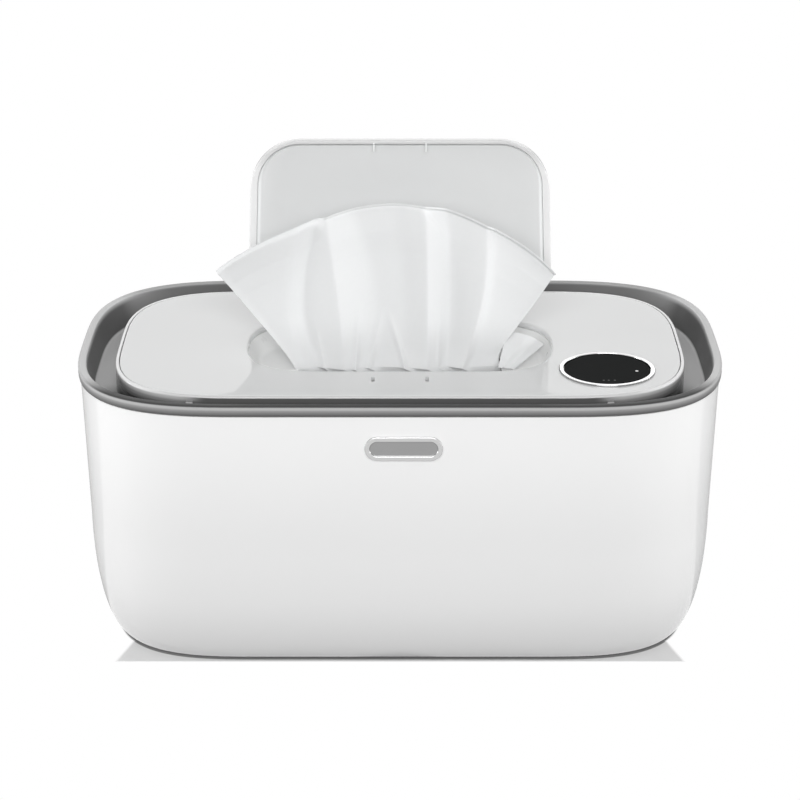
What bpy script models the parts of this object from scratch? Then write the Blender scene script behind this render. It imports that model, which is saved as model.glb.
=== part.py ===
"""Baby wipe warmer: a white case with a grey rim, a hinged lid, a dispensing flap and one pulled wipe.

Metres, +Z up, the case stands on Z = 0 and its front looks towards -Y.
The flap stands open and the lid is closed, as the object is used.
"""

import math

import bmesh
import bpy
import numpy as np
from mathutils import Matrix, Vector

# Driving sizes of the whole object
rim_length = 0.250
rim_depth = 0.1456
rim_corner_radius = 0.0694
rim_end_flat = 0.0034
rim_top_z = 0.110
corner_power = 3.0
corner_steps = 8

# Clearances
seat_gap = 0.0003
hinge_gap = 0.0004
cut_overrun = 0.004

# Rim frame
rim_band_height = 0.00435
rim_land_width = 0.0030
rim_edge_round = 0.0008
rim_wall_run = 0.0028
rim_back_run = 0.0008
rim_wall = 0.0018
rim_case_overhang = 0.0008

# Outer case
case_wall = 0.0024
case_taper = 0.0312
case_round_width = 0.0112
case_round_height = 0.0476
case_round_steps = 9
case_bottom_z = 0.0003
case_lip_width = 0.0030
case_lip_height = 0.0027
case_flange_width = 0.0060

# Base plate, feet and screws
base_plate_thickness = 0.0024
base_recess = 0.0012
foot_radius = 0.0060
foot_side_inset = 0.037
foot_front_inset = 0.0348
base_screw_side_inset = 0.039
base_screw_front_inset = 0.0508
base_screw_shank = 0.0011
base_screw_head = 0.0021
base_screw_head_depth = 0.0011
base_screw_bite = 0.0080
screw_clearance = 0.0003
round_steps = 20

# Tub and the wipes in it
tub_wall = 0.0020
tub_floor_z = 0.0200
tub_flange_width = 0.0095
tub_flange_thickness = 0.0020
tub_draft_run = 0.0040
tub_boss_radius = 0.0040
stack_end_gap = 0.0037
stack_side_gap = 0.0011
stack_corner = 0.010
stack_height = 0.040
stack_crown = 0.0015

# Heater stack under the tub
heater_boss_gap = 0.0055
heater_side_inset = 0.0121
heater_corner = 0.006
heater_thickness = 0.0012
film_margin = 0.0060
film_thickness = 0.0006
pad_margin = 0.0030
pad_thickness = 0.0040
sensor_radius = 0.0022
sensor_height = 0.0030

# Control board
board_length = 0.070
board_depth = 0.045
board_socket_gap = 0.010
board_thickness = 0.0016
board_lift = 0.0040
standoff_radius = 0.0025
standoff_inset = 0.0045
chip_size = 0.010
chip_thickness = 0.0013

# Power socket in the back wall
socket_side_inset = 0.055
socket_z = 0.024
socket_radius = 0.0046
socket_flange_radius = 0.0062
socket_flange_thickness = 0.0010
socket_bore = 0.0029
socket_bore_depth = 0.0085
socket_pin_radius = 0.0009
socket_pin_setback = 0.0012
socket_body_length = 0.0125

# Badge on the front
badge_length = 0.0291
badge_height = 0.0096
badge_thickness = 0.0008
badge_border = 0.0017
badge_border_lift = 0.0004
badge_drop = 0.0171
badge_shift = 0.0014
badge_steps = 8

# Lid
lid_side_gap = 0.0144
lid_front_gap = 0.0118
lid_corner_radius = 0.0550
lid_end_flat = 0.0060
lid_top_drop = 0.0008
lid_height = 0.0103
lid_wall = 0.0013
lid_ledge_width = 0.0052
lid_ledge_thickness = 0.0018
lid_edge_round = 0.0006
panel_thickness = 0.0018
panel_edge_round = 0.0005
liner_thickness = 0.0016
liner_lift = 0.0023
liner_well_gap = 0.0006
liner_boss_radius = 0.0032
liner_screw_shank = 0.0009
liner_screw_head = 0.0018
liner_screw_head_height = 0.0009
liner_screw_bite = 0.0032
boss_front_inset = 0.0656
boss_back_inset = 0.0406
boss_edge_inset = 0.0085
seal_edge_inset = 0.0035
seal_width = 0.0024
tab_side_inset = 0.0319
tab_width = 0.0028
tab_reach = 0.0050
tab_thickness = 0.0016
tab_drop = 0.0020

# Dispensing opening and well
opening_side_inset = 0.0511
opening_front_inset = 0.0276
opening_back_gap = 0.0011
opening_power = 2.6
well_flange = 0.0024
well_wall = 0.0014
well_slope_run = 0.0030
well_floor_drop = 0.0088
slot_end_gap = 0.0195
slot_side_gap = 0.0123
slot_corner_share = 0.6
latch_slit_x = 0.0103
latch_slit_gap = 0.0088
latch_slit_length = 0.0050
latch_slit_width = 0.0011

# Display
display_side_inset = 0.0312
display_front_inset = 0.0286
lens_radius = 0.0165
lens_thickness = 0.0016
bezel_radius = 0.0184
bezel_wall = 0.0008
bezel_flange_lift = 0.0004
bezel_ledge_width = 0.0012
bezel_ledge_thickness = 0.0010
display_board_thickness = 0.0014
display_steps = 32

# Main lid hinge
lid_axis_setback = 0.0036
lid_axis_drop = 0.0037
lid_knuckle_radius = 0.0024
lid_knuckle_width = 0.0100
lid_knuckle_inset = 0.0606
lid_ear_width = 0.0032
lid_ear_round = 0.0024
lid_pin_radius = 0.0013
lid_pin_bore = 0.0009
running_gap = 0.0003

# Flap
flap_front_overlap = 0.0114
flap_side_overlap = 0.0011
flap_corner = 0.0200
flap_height = 0.0052
flap_roof = 0.0016
flap_rim_width = 0.0029
flap_end_wall = 0.0014
flap_edge_round = 0.0012
flap_taper = 0.0012
flap_axis_inset = 0.0347
flap_open_angle = math.radians(93.0)
flap_liner_thickness = 0.0010
flap_blade_width = 0.0005
flap_blade_length = 0.0034
flap_blade_reach = 0.0012
flap_ear_inset = 0.0290
flap_ear_width = 0.0050
flap_pin_radius = 0.0008
flap_pin_reach = 0.0035
flap_notch_gap = 0.0004
barrel_turn_share = 0.5

# Leads
lead_radius = 0.0005
lead_bend_steps = 4
lead_hole_gap = 0.0004

# Pulled wipe
wipe_thickness = 0.0010
wipe_rise = 0.0560
wipe_left_rise = 0.0293
wipe_right_rise = 0.0268
wipe_left_reach = 0.0714
wipe_right_reach = 0.0610
wipe_slot_gap = 0.0035
wipe_tail_share = 0.727
wipe_peak_x = 0.0059
wipe_fold_depth = 0.0042
wipe_fold_count = 5
wipe_lean = 0.0060
wipe_columns = 30
wipe_rows = 13
next_wipe_length = 0.0150
next_wipe_depth = 0.026
next_wipe_rise = 0.0065
next_wipe_side_gap = 0.0120

# Places worked out from the sizes above
rim_half_x = rim_length / 2
rim_half_y = rim_depth / 2
rim_corner = min(rim_corner_radius, rim_half_y - rim_end_flat)
rim_bottom_z = rim_top_z - rim_band_height
case_top_z = rim_bottom_z - seat_gap
lid_half_x = rim_half_x - lid_side_gap
lid_half_y = rim_half_y - lid_front_gap
lid_corner = min(lid_corner_radius, lid_half_y - lid_end_flat)
lid_top_z = rim_top_z - lid_top_drop
lid_bottom_z = lid_top_z - lid_height
gutter_top_z = lid_bottom_z - seat_gap
gutter_bottom_z = gutter_top_z - rim_wall
panel_bottom_z = lid_top_z - panel_thickness
ledge_top_z = panel_bottom_z - seat_gap
ledge_bottom_z = ledge_top_z - lid_ledge_thickness
liner_bottom_z = lid_bottom_z + liner_lift
liner_top_z = liner_bottom_z + liner_thickness
lid_axis_y = lid_half_y + lid_axis_setback
lid_axis_z = rim_top_z - lid_axis_drop
lid_knuckle_x = lid_half_x - lid_knuckle_inset
boss_front_x = lid_half_x - boss_front_inset
boss_back_x = lid_half_x - boss_back_inset
tab_x = lid_half_x - tab_side_inset
display_x = lid_half_x - display_side_inset
display_y = display_front_inset - lid_half_y

foot_x = rim_half_x - foot_side_inset
foot_y = rim_half_y - foot_front_inset
base_screw_x = rim_half_x - base_screw_side_inset
base_screw_y = rim_half_y - base_screw_front_inset
base_bottom_z = case_bottom_z + base_recess
base_plate_top_z = base_bottom_z + base_plate_thickness
flange_bottom_z = base_bottom_z + case_lip_height
flange_top_z = flange_bottom_z + case_wall
boss_drop_z = base_plate_top_z + seat_gap

mouth_inset = seal_edge_inset + seal_width + tub_wall
tub_top_z = gutter_bottom_z - seat_gap
tub_foot_round = tub_wall * 2
tub_floor_inset = mouth_inset + tub_draft_run + tub_foot_round
stack_half_x = lid_half_x - tub_floor_inset - stack_end_gap
stack_half_y = lid_half_y - tub_floor_inset - stack_side_gap
stack_top_z = tub_floor_z + seat_gap + stack_height + stack_crown
heater_length = (base_screw_x - tub_boss_radius - heater_boss_gap) * 2 - pad_margin
heater_depth = (lid_half_y - tub_floor_inset - heater_side_inset) * 2
socket_x = socket_side_inset - rim_half_x
board_x = socket_x + board_socket_gap + board_length / 2

flap_axis_y = lid_half_y - flap_axis_inset
flap_axis_z = lid_top_z + seat_gap + flap_height / 2
opening_back_y = flap_axis_y - opening_back_gap
opening_front_y = opening_front_inset - lid_half_y
opening_y = (opening_back_y + opening_front_y) / 2
opening_depth = opening_back_y - opening_front_y
opening_length = (lid_half_x - opening_side_inset) * 2
well_floor_z = lid_top_z - well_floor_drop
slot_length = opening_length - slot_end_gap * 2
slot_depth = opening_depth - slot_side_gap * 2
latch_slit_y = opening_front_y - latch_slit_gap
flap_width = opening_length + flap_side_overlap * 2
flap_length = flap_axis_y + flap_height / 2 - opening_front_y + flap_front_overlap
flap_ear_x = flap_width / 2 - flap_ear_inset
wipe_y = opening_y
wipe_half_slot = slot_length / 2 - wipe_slot_gap
wipe_half_tail = wipe_half_slot * wipe_tail_share
next_wipe_x = opening_length / 2 - next_wipe_side_gap


def clear_scene():
    for item in list(bpy.data.objects):
        bpy.data.objects.remove(item, do_unlink=True)


def make_material(name, color, roughness, metallic=0.0):
    material = bpy.data.materials.new(name)
    material.use_nodes = True
    shader = material.node_tree.nodes["Principled BSDF"]
    shader.inputs["Base Color"].default_value = (*color, 1.0)
    shader.inputs["Roughness"].default_value = roughness
    shader.inputs["Metallic"].default_value = metallic
    material.diffuse_color = (*color, 1.0)
    return material


def rounded_outline(half_x, half_y, corner, power=2.0, steps=corner_steps):
    """Points of a rounded rectangle, anticlockwise, each corner a quarter of a superellipse."""
    angles = [math.pi / 2 * i / steps for i in range(steps + 1)]
    along = [math.cos(a) ** (2 / power) if i < steps else 0.0 for i, a in enumerate(angles)]
    across = [math.sin(a) ** (2 / power) if i > 0 else 0.0 for i, a in enumerate(angles)]
    core_x = half_x - corner
    core_y = half_y - corner
    points = []
    for c, s in zip(along, across):
        points.append((core_x + corner * c, core_y + corner * s))
    for c, s in zip(along, across):
        points.append((-core_x - corner * s, core_y + corner * c))
    for c, s in zip(along, across):
        points.append((-core_x - corner * c, -core_y - corner * s))
    for c, s in zip(along, across):
        points.append((core_x + corner * s, -core_y - corner * c))
    return points


def rim_outline(inset):
    return rounded_outline(rim_half_x - inset, rim_half_y - inset, rim_corner - inset, corner_power)


def lid_outline(inset):
    return rounded_outline(lid_half_x - inset, lid_half_y - inset, lid_corner - inset, corner_power)


def lid_edge_y(x):
    """How far the lid's outer edge stands from its middle line at x."""
    past = max(0.0, abs(x) - (lid_half_x - lid_corner)) / lid_corner
    return lid_half_y - lid_corner + lid_corner * (1 - past ** corner_power) ** (1 / corner_power)


def opening_outline(inset):
    half_x = opening_length / 2 - inset
    half_y = opening_depth / 2 - inset
    points = rounded_outline(half_x, half_y, half_y, opening_power)
    return [(x, y + opening_y) for x, y in points]


def slot_outline(inset):
    half_x = slot_length / 2 - inset
    half_y = slot_depth / 2 - inset
    points = rounded_outline(half_x, half_y, half_y * slot_corner_share)
    return [(x, y + opening_y) for x, y in points]


def ring_at(outline, z):
    return [(x, y, z) for x, y in outline]


def add_object(name, mesh, material, smooth=True):
    mesh.materials.append(material)
    item = bpy.data.objects.new(name, mesh)
    bpy.context.scene.collection.objects.link(item)
    if smooth:
        mesh.polygons.foreach_set("use_smooth", [True] * len(mesh.polygons))
        mesh.set_sharp_from_angle(angle=math.radians(30.0))
    return item


def mesh_from_rings(name, rings, closed):
    """Bridge rings of equal count: closed joins the last ring to the first, else both ends are capped."""
    mesh = bpy.data.meshes.new(name)
    builder = bmesh.new()
    loops = [[builder.verts.new(point) for point in ring] for ring in rings]
    count = len(rings[0])
    pairs = list(zip(loops, loops[1:]))
    if closed:
        pairs.append((loops[-1], loops[0]))
    for lower, upper in pairs:
        for i in range(count):
            j = (i + 1) % count
            builder.faces.new((lower[i], lower[j], upper[j], upper[i]))
    if not closed:
        builder.faces.new(list(reversed(loops[0])))
        builder.faces.new(loops[-1])
    bmesh.ops.remove_doubles(builder, verts=builder.verts, dist=seat_gap / 100)
    bmesh.ops.recalc_face_normals(builder, faces=builder.faces)
    builder.to_mesh(mesh)
    builder.free()
    return mesh


def ring_solid(name, rings, material, closed=False, smooth=True):
    return add_object(name, mesh_from_rings(name, rings, closed), material, smooth)


def circle_at(center, radius, steps=round_steps):
    x0, y0, z0 = center
    angles = [2 * math.pi * i / steps for i in range(steps)]
    return [(x0 + radius * math.cos(a), y0 + radius * math.sin(a), z0) for a in angles]


def turned_rings(center, profile, steps=round_steps):
    """Rings of a body turned about a vertical line: profile is a list of (radius, height over the center)."""
    x0, y0, z0 = center
    return [circle_at((x0, y0, z0 + z), radius, steps) for radius, z in profile]


def cross_ring(center, radius, along, steps=round_steps, turn_share=0.0):
    """A circle about an X or a Y line, its corners turned by a share of one step."""
    x0, y0, z0 = center
    angles = [2 * math.pi * (i + turn_share) / steps for i in range(steps)]
    if along == "X":
        return [(x0, y0 + radius * math.cos(a), z0 + radius * math.sin(a)) for a in angles]
    return [(x0 + radius * math.cos(a), y0, z0 + radius * math.sin(a)) for a in angles]


def box_mesh(name, low, high):
    mesh = bpy.data.meshes.new(name)
    builder = bmesh.new()
    bmesh.ops.create_cube(builder, size=1.0)
    for vert in builder.verts:
        vert.co = Vector((low[i] + (vert.co[i] + 0.5) * (high[i] - low[i]) for i in range(3)))
    builder.to_mesh(mesh)
    builder.free()
    return mesh


def as_tool(item):
    item.hide_render = True
    item.display_type = "WIRE"
    item.hide_set(True)
    return item


def box_tool(name, low, high, material):
    return as_tool(add_object(name, box_mesh(name, low, high), material, smooth=False))


def rings_tool(name, rings, material, closed=False):
    return as_tool(ring_solid(name, rings, material, closed, smooth=False))


def combine(item, tool, operation):
    change = item.modifiers.new(tool.name, "BOOLEAN")
    change.operation = operation
    change.solver = "EXACT"
    change.object = tool


def cut(item, *tools):
    for tool in tools:
        combine(item, tool, "DIFFERENCE")


def join(item, *tools):
    for tool in tools:
        combine(item, tool, "UNION")


def make_materials():
    return {
        "white": make_material("white_plastic", (0.86, 0.86, 0.86), 0.25),
        "rim": make_material("rim_grey", (0.30, 0.30, 0.31), 0.30, 0.6),
        "panel": make_material("panel_gloss", (0.72, 0.72, 0.72), 0.12),
        "inner": make_material("inner_plastic", (0.66, 0.67, 0.67), 0.40),
        "chrome": make_material("bright_chrome", (0.75, 0.75, 0.76), 0.12, 1.0),
        "black": make_material("black_lens", (0.015, 0.016, 0.018), 0.10),
        "rubber": make_material("foot_rubber", (0.05, 0.05, 0.05), 0.80),
        "silicone": make_material("seal_silicone", (0.60, 0.60, 0.60), 0.60),
        "steel": make_material("screw_steel", (0.55, 0.55, 0.56), 0.35, 1.0),
        "aluminium": make_material("heater_aluminium", (0.70, 0.70, 0.71), 0.40, 1.0),
        "film": make_material("heating_film_amber", (0.45, 0.22, 0.05), 0.35),
        "foam": make_material("insulation_foam", (0.35, 0.35, 0.36), 0.95),
        "board": make_material("board_green", (0.03, 0.20, 0.09), 0.45),
        "chip": make_material("chip_black", (0.03, 0.03, 0.03), 0.50),
        "lead": make_material("lead_cover", (0.06, 0.06, 0.07), 0.60),
        "wipe": make_material("wipe_cloth", (0.88, 0.88, 0.88), 0.95),
    }


def case_inset(z):
    """How far the case's outer face stands inside the rim's outline at height z."""
    straight_bottom = case_bottom_z + case_round_height
    inset = rim_case_overhang + case_taper * (case_top_z - max(z, straight_bottom))
    if z < straight_bottom:
        rise = (straight_bottom - z) / case_round_height
        inset += case_round_width * (1 - math.sqrt(max(0.0, 1 - rise * rise)))
    return inset


def case_profile():
    """Outer profile points (inset, z) from the top edge down to the case's bottom edge."""
    straight_bottom = case_bottom_z + case_round_height
    points = [(case_inset(case_top_z), case_top_z)]
    points.append((case_inset(straight_bottom), straight_bottom))
    for i in range(1, case_round_steps + 1):
        angle = math.pi / 2 * i / case_round_steps
        z = straight_bottom - case_round_height * math.sin(angle)
        inset = case_inset(straight_bottom) + case_round_width * (1 - math.cos(angle))
        points.append((inset, z))
    return points


def inner_profile():
    """The case's inner face: the outer profile moved in by the wall along its normal, above the flange."""
    outer = case_profile()
    points = []
    for i, (inset, z) in enumerate(outer):
        before = outer[max(i - 1, 0)]
        after = outer[min(i + 1, len(outer) - 1)]
        run = after[0] - before[0]
        drop = before[1] - after[1]
        length = math.hypot(run, drop)
        inner = (inset + case_wall * drop / length, z + case_wall * run / length)
        if i == 0:
            inner = (inner[0], case_top_z)
        if inner[1] > flange_top_z + case_wall / 2:
            points.append(inner)
    return points


def build_outer_case(materials):
    outer = case_profile()
    inner = inner_profile()
    lip_inset = outer[-1][0] + case_lip_width
    flange_inset = lip_inset + case_flange_width
    rings = [ring_at(rim_outline(inset), z) for inset, z in outer]
    rings.append(ring_at(rim_outline(lip_inset), case_bottom_z))
    rings.append(ring_at(rim_outline(lip_inset), flange_bottom_z))
    rings.append(ring_at(rim_outline(flange_inset), flange_bottom_z))
    rings.append(ring_at(rim_outline(flange_inset), flange_top_z))
    rings.append(ring_at(rim_outline(inner[-1][0] + case_wall / 2), flange_top_z))
    rings.extend(ring_at(rim_outline(inset), z) for inset, z in reversed(inner))
    case = ring_solid("outer_case", rings, materials["white"], closed=True)
    face_y = rim_half_y - case_inset(socket_z)
    hole_radius = socket_radius + seat_gap
    hole = [
        cross_ring((socket_x, face_y - case_wall - cut_overrun, socket_z), hole_radius, "Y"),
        cross_ring((socket_x, face_y + cut_overrun, socket_z), hole_radius, "Y"),
    ]
    cut(case, rings_tool("cut_socket_hole", hole, materials["white"]))
    return case


def build_base_plate(materials):
    lip_inset = case_profile()[-1][0] + case_lip_width
    plate_outline = rim_outline(lip_inset + seat_gap)
    rings = [ring_at(plate_outline, base_bottom_z), ring_at(plate_outline, base_plate_top_z)]
    plate = ring_solid("base_plate", rings, materials["white"], smooth=False)
    for i, (x, y) in enumerate(base_screw_places()):
        shank = base_screw_shank + screw_clearance
        head = base_screw_head + screw_clearance
        head_top = base_bottom_z + base_screw_head_depth + seat_gap
        profile = [
            (head, -cut_overrun),
            (head, head_top - base_bottom_z),
            (shank, head_top - base_bottom_z),
            (shank, base_plate_thickness + cut_overrun),
        ]
        tool = turned_rings((x, y, base_bottom_z), profile)
        cut(plate, rings_tool(f"cut_base_screw_{i + 1}", tool, materials["white"]))
    for i, (x, y) in enumerate(standoff_places()):
        root = base_plate_top_z - base_plate_thickness / 2
        top = base_plate_top_z + board_lift - seat_gap
        tool = turned_rings((x, y, 0), [(standoff_radius, root), (standoff_radius, top)])
        join(plate, rings_tool(f"join_standoff_{i + 1}", tool, materials["white"]))
    return plate


def base_screw_places():
    return [(sx * base_screw_x, sy * base_screw_y) for sx in (-1, 1) for sy in (-1, 1)]


def standoff_places():
    half_x = board_length / 2 - standoff_inset
    half_y = board_depth / 2 - standoff_inset
    return [(board_x + sx * half_x, sy * half_y) for sx in (-1, 1) for sy in (-1, 1)]


def build_feet(materials):
    places = [(sx * foot_x, sy * foot_y) for sx in (-1, 1) for sy in (-1, 1)]
    top = base_bottom_z - seat_gap
    edge = foot_radius / 10
    for i, (x, y) in enumerate(places):
        profile = [(foot_radius - edge, 0), (foot_radius, edge), (foot_radius, top)]
        ring_solid(f"foot_{i + 1}", turned_rings((x, y, 0), profile), materials["rubber"])


def build_base_screws(materials):
    for i, (x, y) in enumerate(base_screw_places()):
        head_top = base_bottom_z + base_screw_head_depth
        tip = boss_drop_z + base_screw_bite
        profile = [
            (base_screw_head, base_bottom_z),
            (base_screw_head, head_top),
            (base_screw_shank, head_top),
            (base_screw_shank, tip - base_screw_shank),
            (base_screw_shank / 2, tip),
        ]
        ring_solid(f"base_screw_{i + 1}", turned_rings((x, y, 0), profile, 12), materials["steel"])


def build_rim_frame(materials):
    wall_top_inset = rim_land_width
    wall_foot_inset = rim_land_width + rim_wall_run
    back_top_inset = rim_case_overhang + case_wall + seat_gap
    back_foot_inset = back_top_inset + rim_back_run
    rings = [
        ring_at(rim_outline(0), rim_bottom_z),
        ring_at(rim_outline(0), rim_top_z - rim_edge_round),
        ring_at(rim_outline(rim_edge_round * 0.3), rim_top_z - rim_edge_round * 0.3),
        ring_at(rim_outline(rim_edge_round), rim_top_z),
        ring_at(rim_outline(wall_top_inset - rim_edge_round / 2), rim_top_z),
        ring_at(rim_outline(wall_top_inset), rim_top_z - rim_edge_round / 2),
        ring_at(rim_outline(wall_foot_inset), gutter_top_z),
        ring_at(lid_outline(seal_edge_inset + seal_width + seat_gap), gutter_top_z),
        ring_at(lid_outline(seal_edge_inset + seal_width + seat_gap), gutter_bottom_z),
        ring_at(rim_outline(back_foot_inset), gutter_bottom_z),
        ring_at(rim_outline(back_top_inset), rim_bottom_z),
    ]
    frame = ring_solid("rim_frame", rings, materials["rim"], closed=True)
    for side, sign in (("left", -1), ("right", 1)):
        for place, x in zip(("inner", "outer"), ear_places(sign)):
            name = f"{side}_{place}"
            join(frame, rings_tool(f"join_ear_{name}", ear_rings(x), materials["rim"]))
    for side, sign in (("left", -1), ("right", 1)):
        reach = lid_knuckle_width / 2 + lid_ear_width * 2 + cut_overrun / 2
        rings = [
            cross_ring((sign * lid_knuckle_x - reach, lid_axis_y, lid_axis_z), lid_bore(), "X", 12),
            cross_ring((sign * lid_knuckle_x + reach, lid_axis_y, lid_axis_z), lid_bore(), "X", 12),
        ]
        cut(frame, rings_tool(f"cut_ear_bore_{side}", rings, materials["rim"]))
    hole = lead_radius + lead_hole_gap
    tool = turned_rings(
        (lead_rise_x(), lid_axis_y, 0),
        [(hole, gutter_bottom_z - cut_overrun / 2), (hole, gutter_top_z + cut_overrun / 2)],
        12,
    )
    cut(frame, rings_tool("cut_lead_hole", tool, materials["rim"]))
    return frame


def lid_bore():
    return lid_pin_radius + running_gap


def ear_places(sign):
    offset = lid_knuckle_width / 2 + hinge_gap + lid_ear_width / 2
    return (sign * lid_knuckle_x - sign * offset, sign * lid_knuckle_x + sign * offset)


def ear_rings(x):
    """An upright ear with a round top about the lid's axis, sunk a little into the gutter floor."""
    foot_z = gutter_top_z - rim_wall / 2
    steps = 8
    outline = [(lid_axis_y - lid_ear_round, foot_z)]
    outline.append((lid_axis_y + lid_ear_round, foot_z))
    for i in range(steps + 1):
        angle = math.pi * i / steps
        outline.append(
            (lid_axis_y + lid_ear_round * math.cos(angle), lid_axis_z + lid_ear_round * math.sin(angle))
        )
    low = x - lid_ear_width / 2
    high = x + lid_ear_width / 2
    return [[(low, y, z) for y, z in outline], [(high, y, z) for y, z in outline]]


def build_inner_tub(materials):
    flange_outer = mouth_inset - tub_flange_width
    bottom_inset = mouth_inset + tub_draft_run
    foot_round = tub_foot_round
    rings = [
        ring_at(lid_outline(flange_outer), tub_top_z),
        ring_at(lid_outline(mouth_inset), tub_top_z),
        ring_at(lid_outline(bottom_inset), tub_floor_z + foot_round),
        ring_at(lid_outline(bottom_inset + foot_round * 0.3), tub_floor_z + foot_round * 0.3),
        ring_at(lid_outline(bottom_inset + foot_round), tub_floor_z),
    ]
    under = [
        ring_at(lid_outline(flange_outer), tub_top_z - tub_flange_thickness),
        ring_at(lid_outline(mouth_inset - tub_wall), tub_top_z - tub_flange_thickness),
        ring_at(lid_outline(bottom_inset - tub_wall), tub_floor_z + foot_round - tub_wall),
        ring_at(
            lid_outline(bottom_inset - tub_wall + foot_round * 0.3),
            tub_floor_z + foot_round * 0.3 - tub_wall,
        ),
        ring_at(lid_outline(bottom_inset + foot_round - tub_wall), tub_floor_z - tub_wall),
    ]
    tub = ring_solid("inner_tub", list(reversed(rings)) + under, materials["inner"])
    for i, (x, y) in enumerate(base_screw_places()):
        root = tub_floor_z - tub_wall / 2
        tool = turned_rings((x, y, 0), [(tub_boss_radius, boss_drop_z), (tub_boss_radius, root)])
        join(tub, rings_tool(f"join_tub_boss_{i + 1}", tool, materials["inner"]))
    for i, (x, y) in enumerate(base_screw_places()):
        bore = base_screw_shank + seat_gap
        top = boss_drop_z + base_screw_bite + seat_gap
        tool = turned_rings((x, y, 0), [(bore, boss_drop_z - cut_overrun), (bore, top)], 12)
        cut(tub, rings_tool(f"cut_tub_boss_{i + 1}", tool, materials["inner"]))
    return tub


def slab_rings(length, depth, corner, low, high):
    outline = rounded_outline(length / 2, depth / 2, corner, 2.0, 3)
    return [ring_at(outline, low), ring_at(outline, high)]


def heater_levels():
    """Heights of the plate, the film and the foam pad, each a seat gap under the one above."""
    plate_top = tub_floor_z - tub_wall - seat_gap
    plate_low = plate_top - heater_thickness
    film_top = plate_low - seat_gap
    film_low = film_top - film_thickness
    pad_top = film_low - seat_gap
    pad_low = pad_top - pad_thickness
    return plate_low, plate_top, film_low, film_top, pad_low, pad_top


def build_heater(materials):
    plate_low, plate_top, film_low, film_top, pad_low, pad_top = heater_levels()
    plate = ring_solid(
        "heater_plate",
        slab_rings(heater_length, heater_depth, heater_corner, plate_low, plate_top),
        materials["aluminium"],
        smooth=False,
    )
    film = ring_solid(
        "heating_film",
        slab_rings(
            heater_length - film_margin, heater_depth - film_margin, heater_corner, film_low, film_top
        ),
        materials["film"],
        smooth=False,
    )
    pad = ring_solid(
        "insulation_pad",
        slab_rings(heater_length + pad_margin, heater_depth + pad_margin, heater_corner, pad_low, pad_top),
        materials["foam"],
        smooth=False,
    )
    hole = sensor_radius + seat_gap
    for name, item in (("film", film), ("pad", pad)):
        tool = turned_rings(
            (sensor_x(), 0, 0), [(hole, pad_low - cut_overrun), (hole, film_top + heater_thickness / 2)], 12
        )
        cut(item, rings_tool(f"cut_sensor_{name}", tool, materials["foam"]))
    sensor_top = plate_low - seat_gap
    profile = [
        (sensor_radius, sensor_top - sensor_height),
        (sensor_radius, sensor_top - sensor_radius / 4),
        (sensor_radius * 0.75, sensor_top),
    ]
    ring_solid("temperature_sensor", turned_rings((sensor_x(), 0, 0), profile, 12), materials["chip"])


def sensor_x():
    return board_x + board_length / 2 + sensor_radius * 4


def board_levels():
    low = base_plate_top_z + board_lift
    return low, low + board_thickness


def build_board(materials):
    low, high = board_levels()
    corner = standoff_inset / 3
    flat = rounded_outline(board_length / 2, board_depth / 2, corner, 2.0, 2)
    outline = [(board_x + x, y) for x, y in flat]
    rings = [ring_at(outline, low), ring_at(outline, high)]
    ring_solid("control_board", rings, materials["board"], smooth=False)
    half = chip_size / 2
    chip_low = (board_x - half, -half, high + seat_gap)
    chip_high = (board_x + half, half, high + seat_gap + chip_thickness)
    add_object("control_chip", box_mesh("control_chip", chip_low, chip_high), materials["chip"], smooth=False)


def build_socket(materials):
    """The inlet is turned about a Y line: flange outside the case, a blind bore and its contact pin."""
    front_y = rim_half_y - case_inset(socket_z + socket_flange_radius) + seat_gap + socket_flange_thickness
    flange_back = front_y - socket_flange_thickness
    body_back = front_y - socket_body_length
    bore_floor = front_y - socket_bore_depth
    pin_tip = front_y - socket_pin_setback
    places = [
        (body_back, socket_radius),
        (flange_back, socket_radius),
        (flange_back, socket_flange_radius),
        (front_y, socket_flange_radius),
        (front_y, socket_bore),
        (bore_floor, socket_bore),
        (bore_floor, socket_pin_radius),
        (pin_tip, socket_pin_radius),
    ]
    rings = [cross_ring((socket_x, y, socket_z), radius, "Y") for y, radius in places]
    return ring_solid("power_socket", rings, materials["black"])


def build_badge(materials):
    """A bare capsule plate with a raised border, leaning with the case's front wall."""
    face_z = rim_top_z - badge_drop
    lean = math.atan(case_taper)
    steps = badge_steps
    half_x = badge_length / 2
    half_z = badge_height / 2

    def capsule(inset, lift):
        outline = rounded_outline(half_x - inset, half_z - inset, half_z - inset, 2.0, steps)
        return [(x, -lift, z) for x, z in outline]

    plate = badge_thickness - badge_border_lift
    rings = [
        capsule(0, 0),
        capsule(0, badge_thickness - badge_border / 4),
        capsule(badge_border / 4, badge_thickness),
        capsule(badge_border, badge_thickness),
        capsule(badge_border + badge_border_lift / 2, plate),
    ]
    badge = ring_solid("badge", rings, materials["chrome"])
    badge.location = (badge_shift, -(rim_half_y - case_inset(face_z)) - seat_gap, face_z)
    badge.rotation_euler = (lean, 0, 0)
    return badge


def build_wipe_stack(materials):
    low = tub_floor_z + seat_gap
    inset = stack_crown * 2
    half_x = stack_half_x
    half_y = stack_half_y
    rings = [
        ring_at(rounded_outline(half_x - inset, half_y - inset, stack_corner, 2.0, 4), low),
        ring_at(rounded_outline(half_x, half_y, stack_corner, 2.0, 4), low + inset),
        ring_at(rounded_outline(half_x, half_y, stack_corner, 2.0, 4), low + stack_height - inset),
        ring_at(rounded_outline(half_x - inset, half_y - inset, stack_corner, 2.0, 4), low + stack_height),
        ring_at(rounded_outline(half_x / 2, half_y / 2, stack_corner, 2.0, 4), stack_top_z),
    ]
    return ring_solid("wipe_stack", rings, materials["wipe"])


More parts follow.
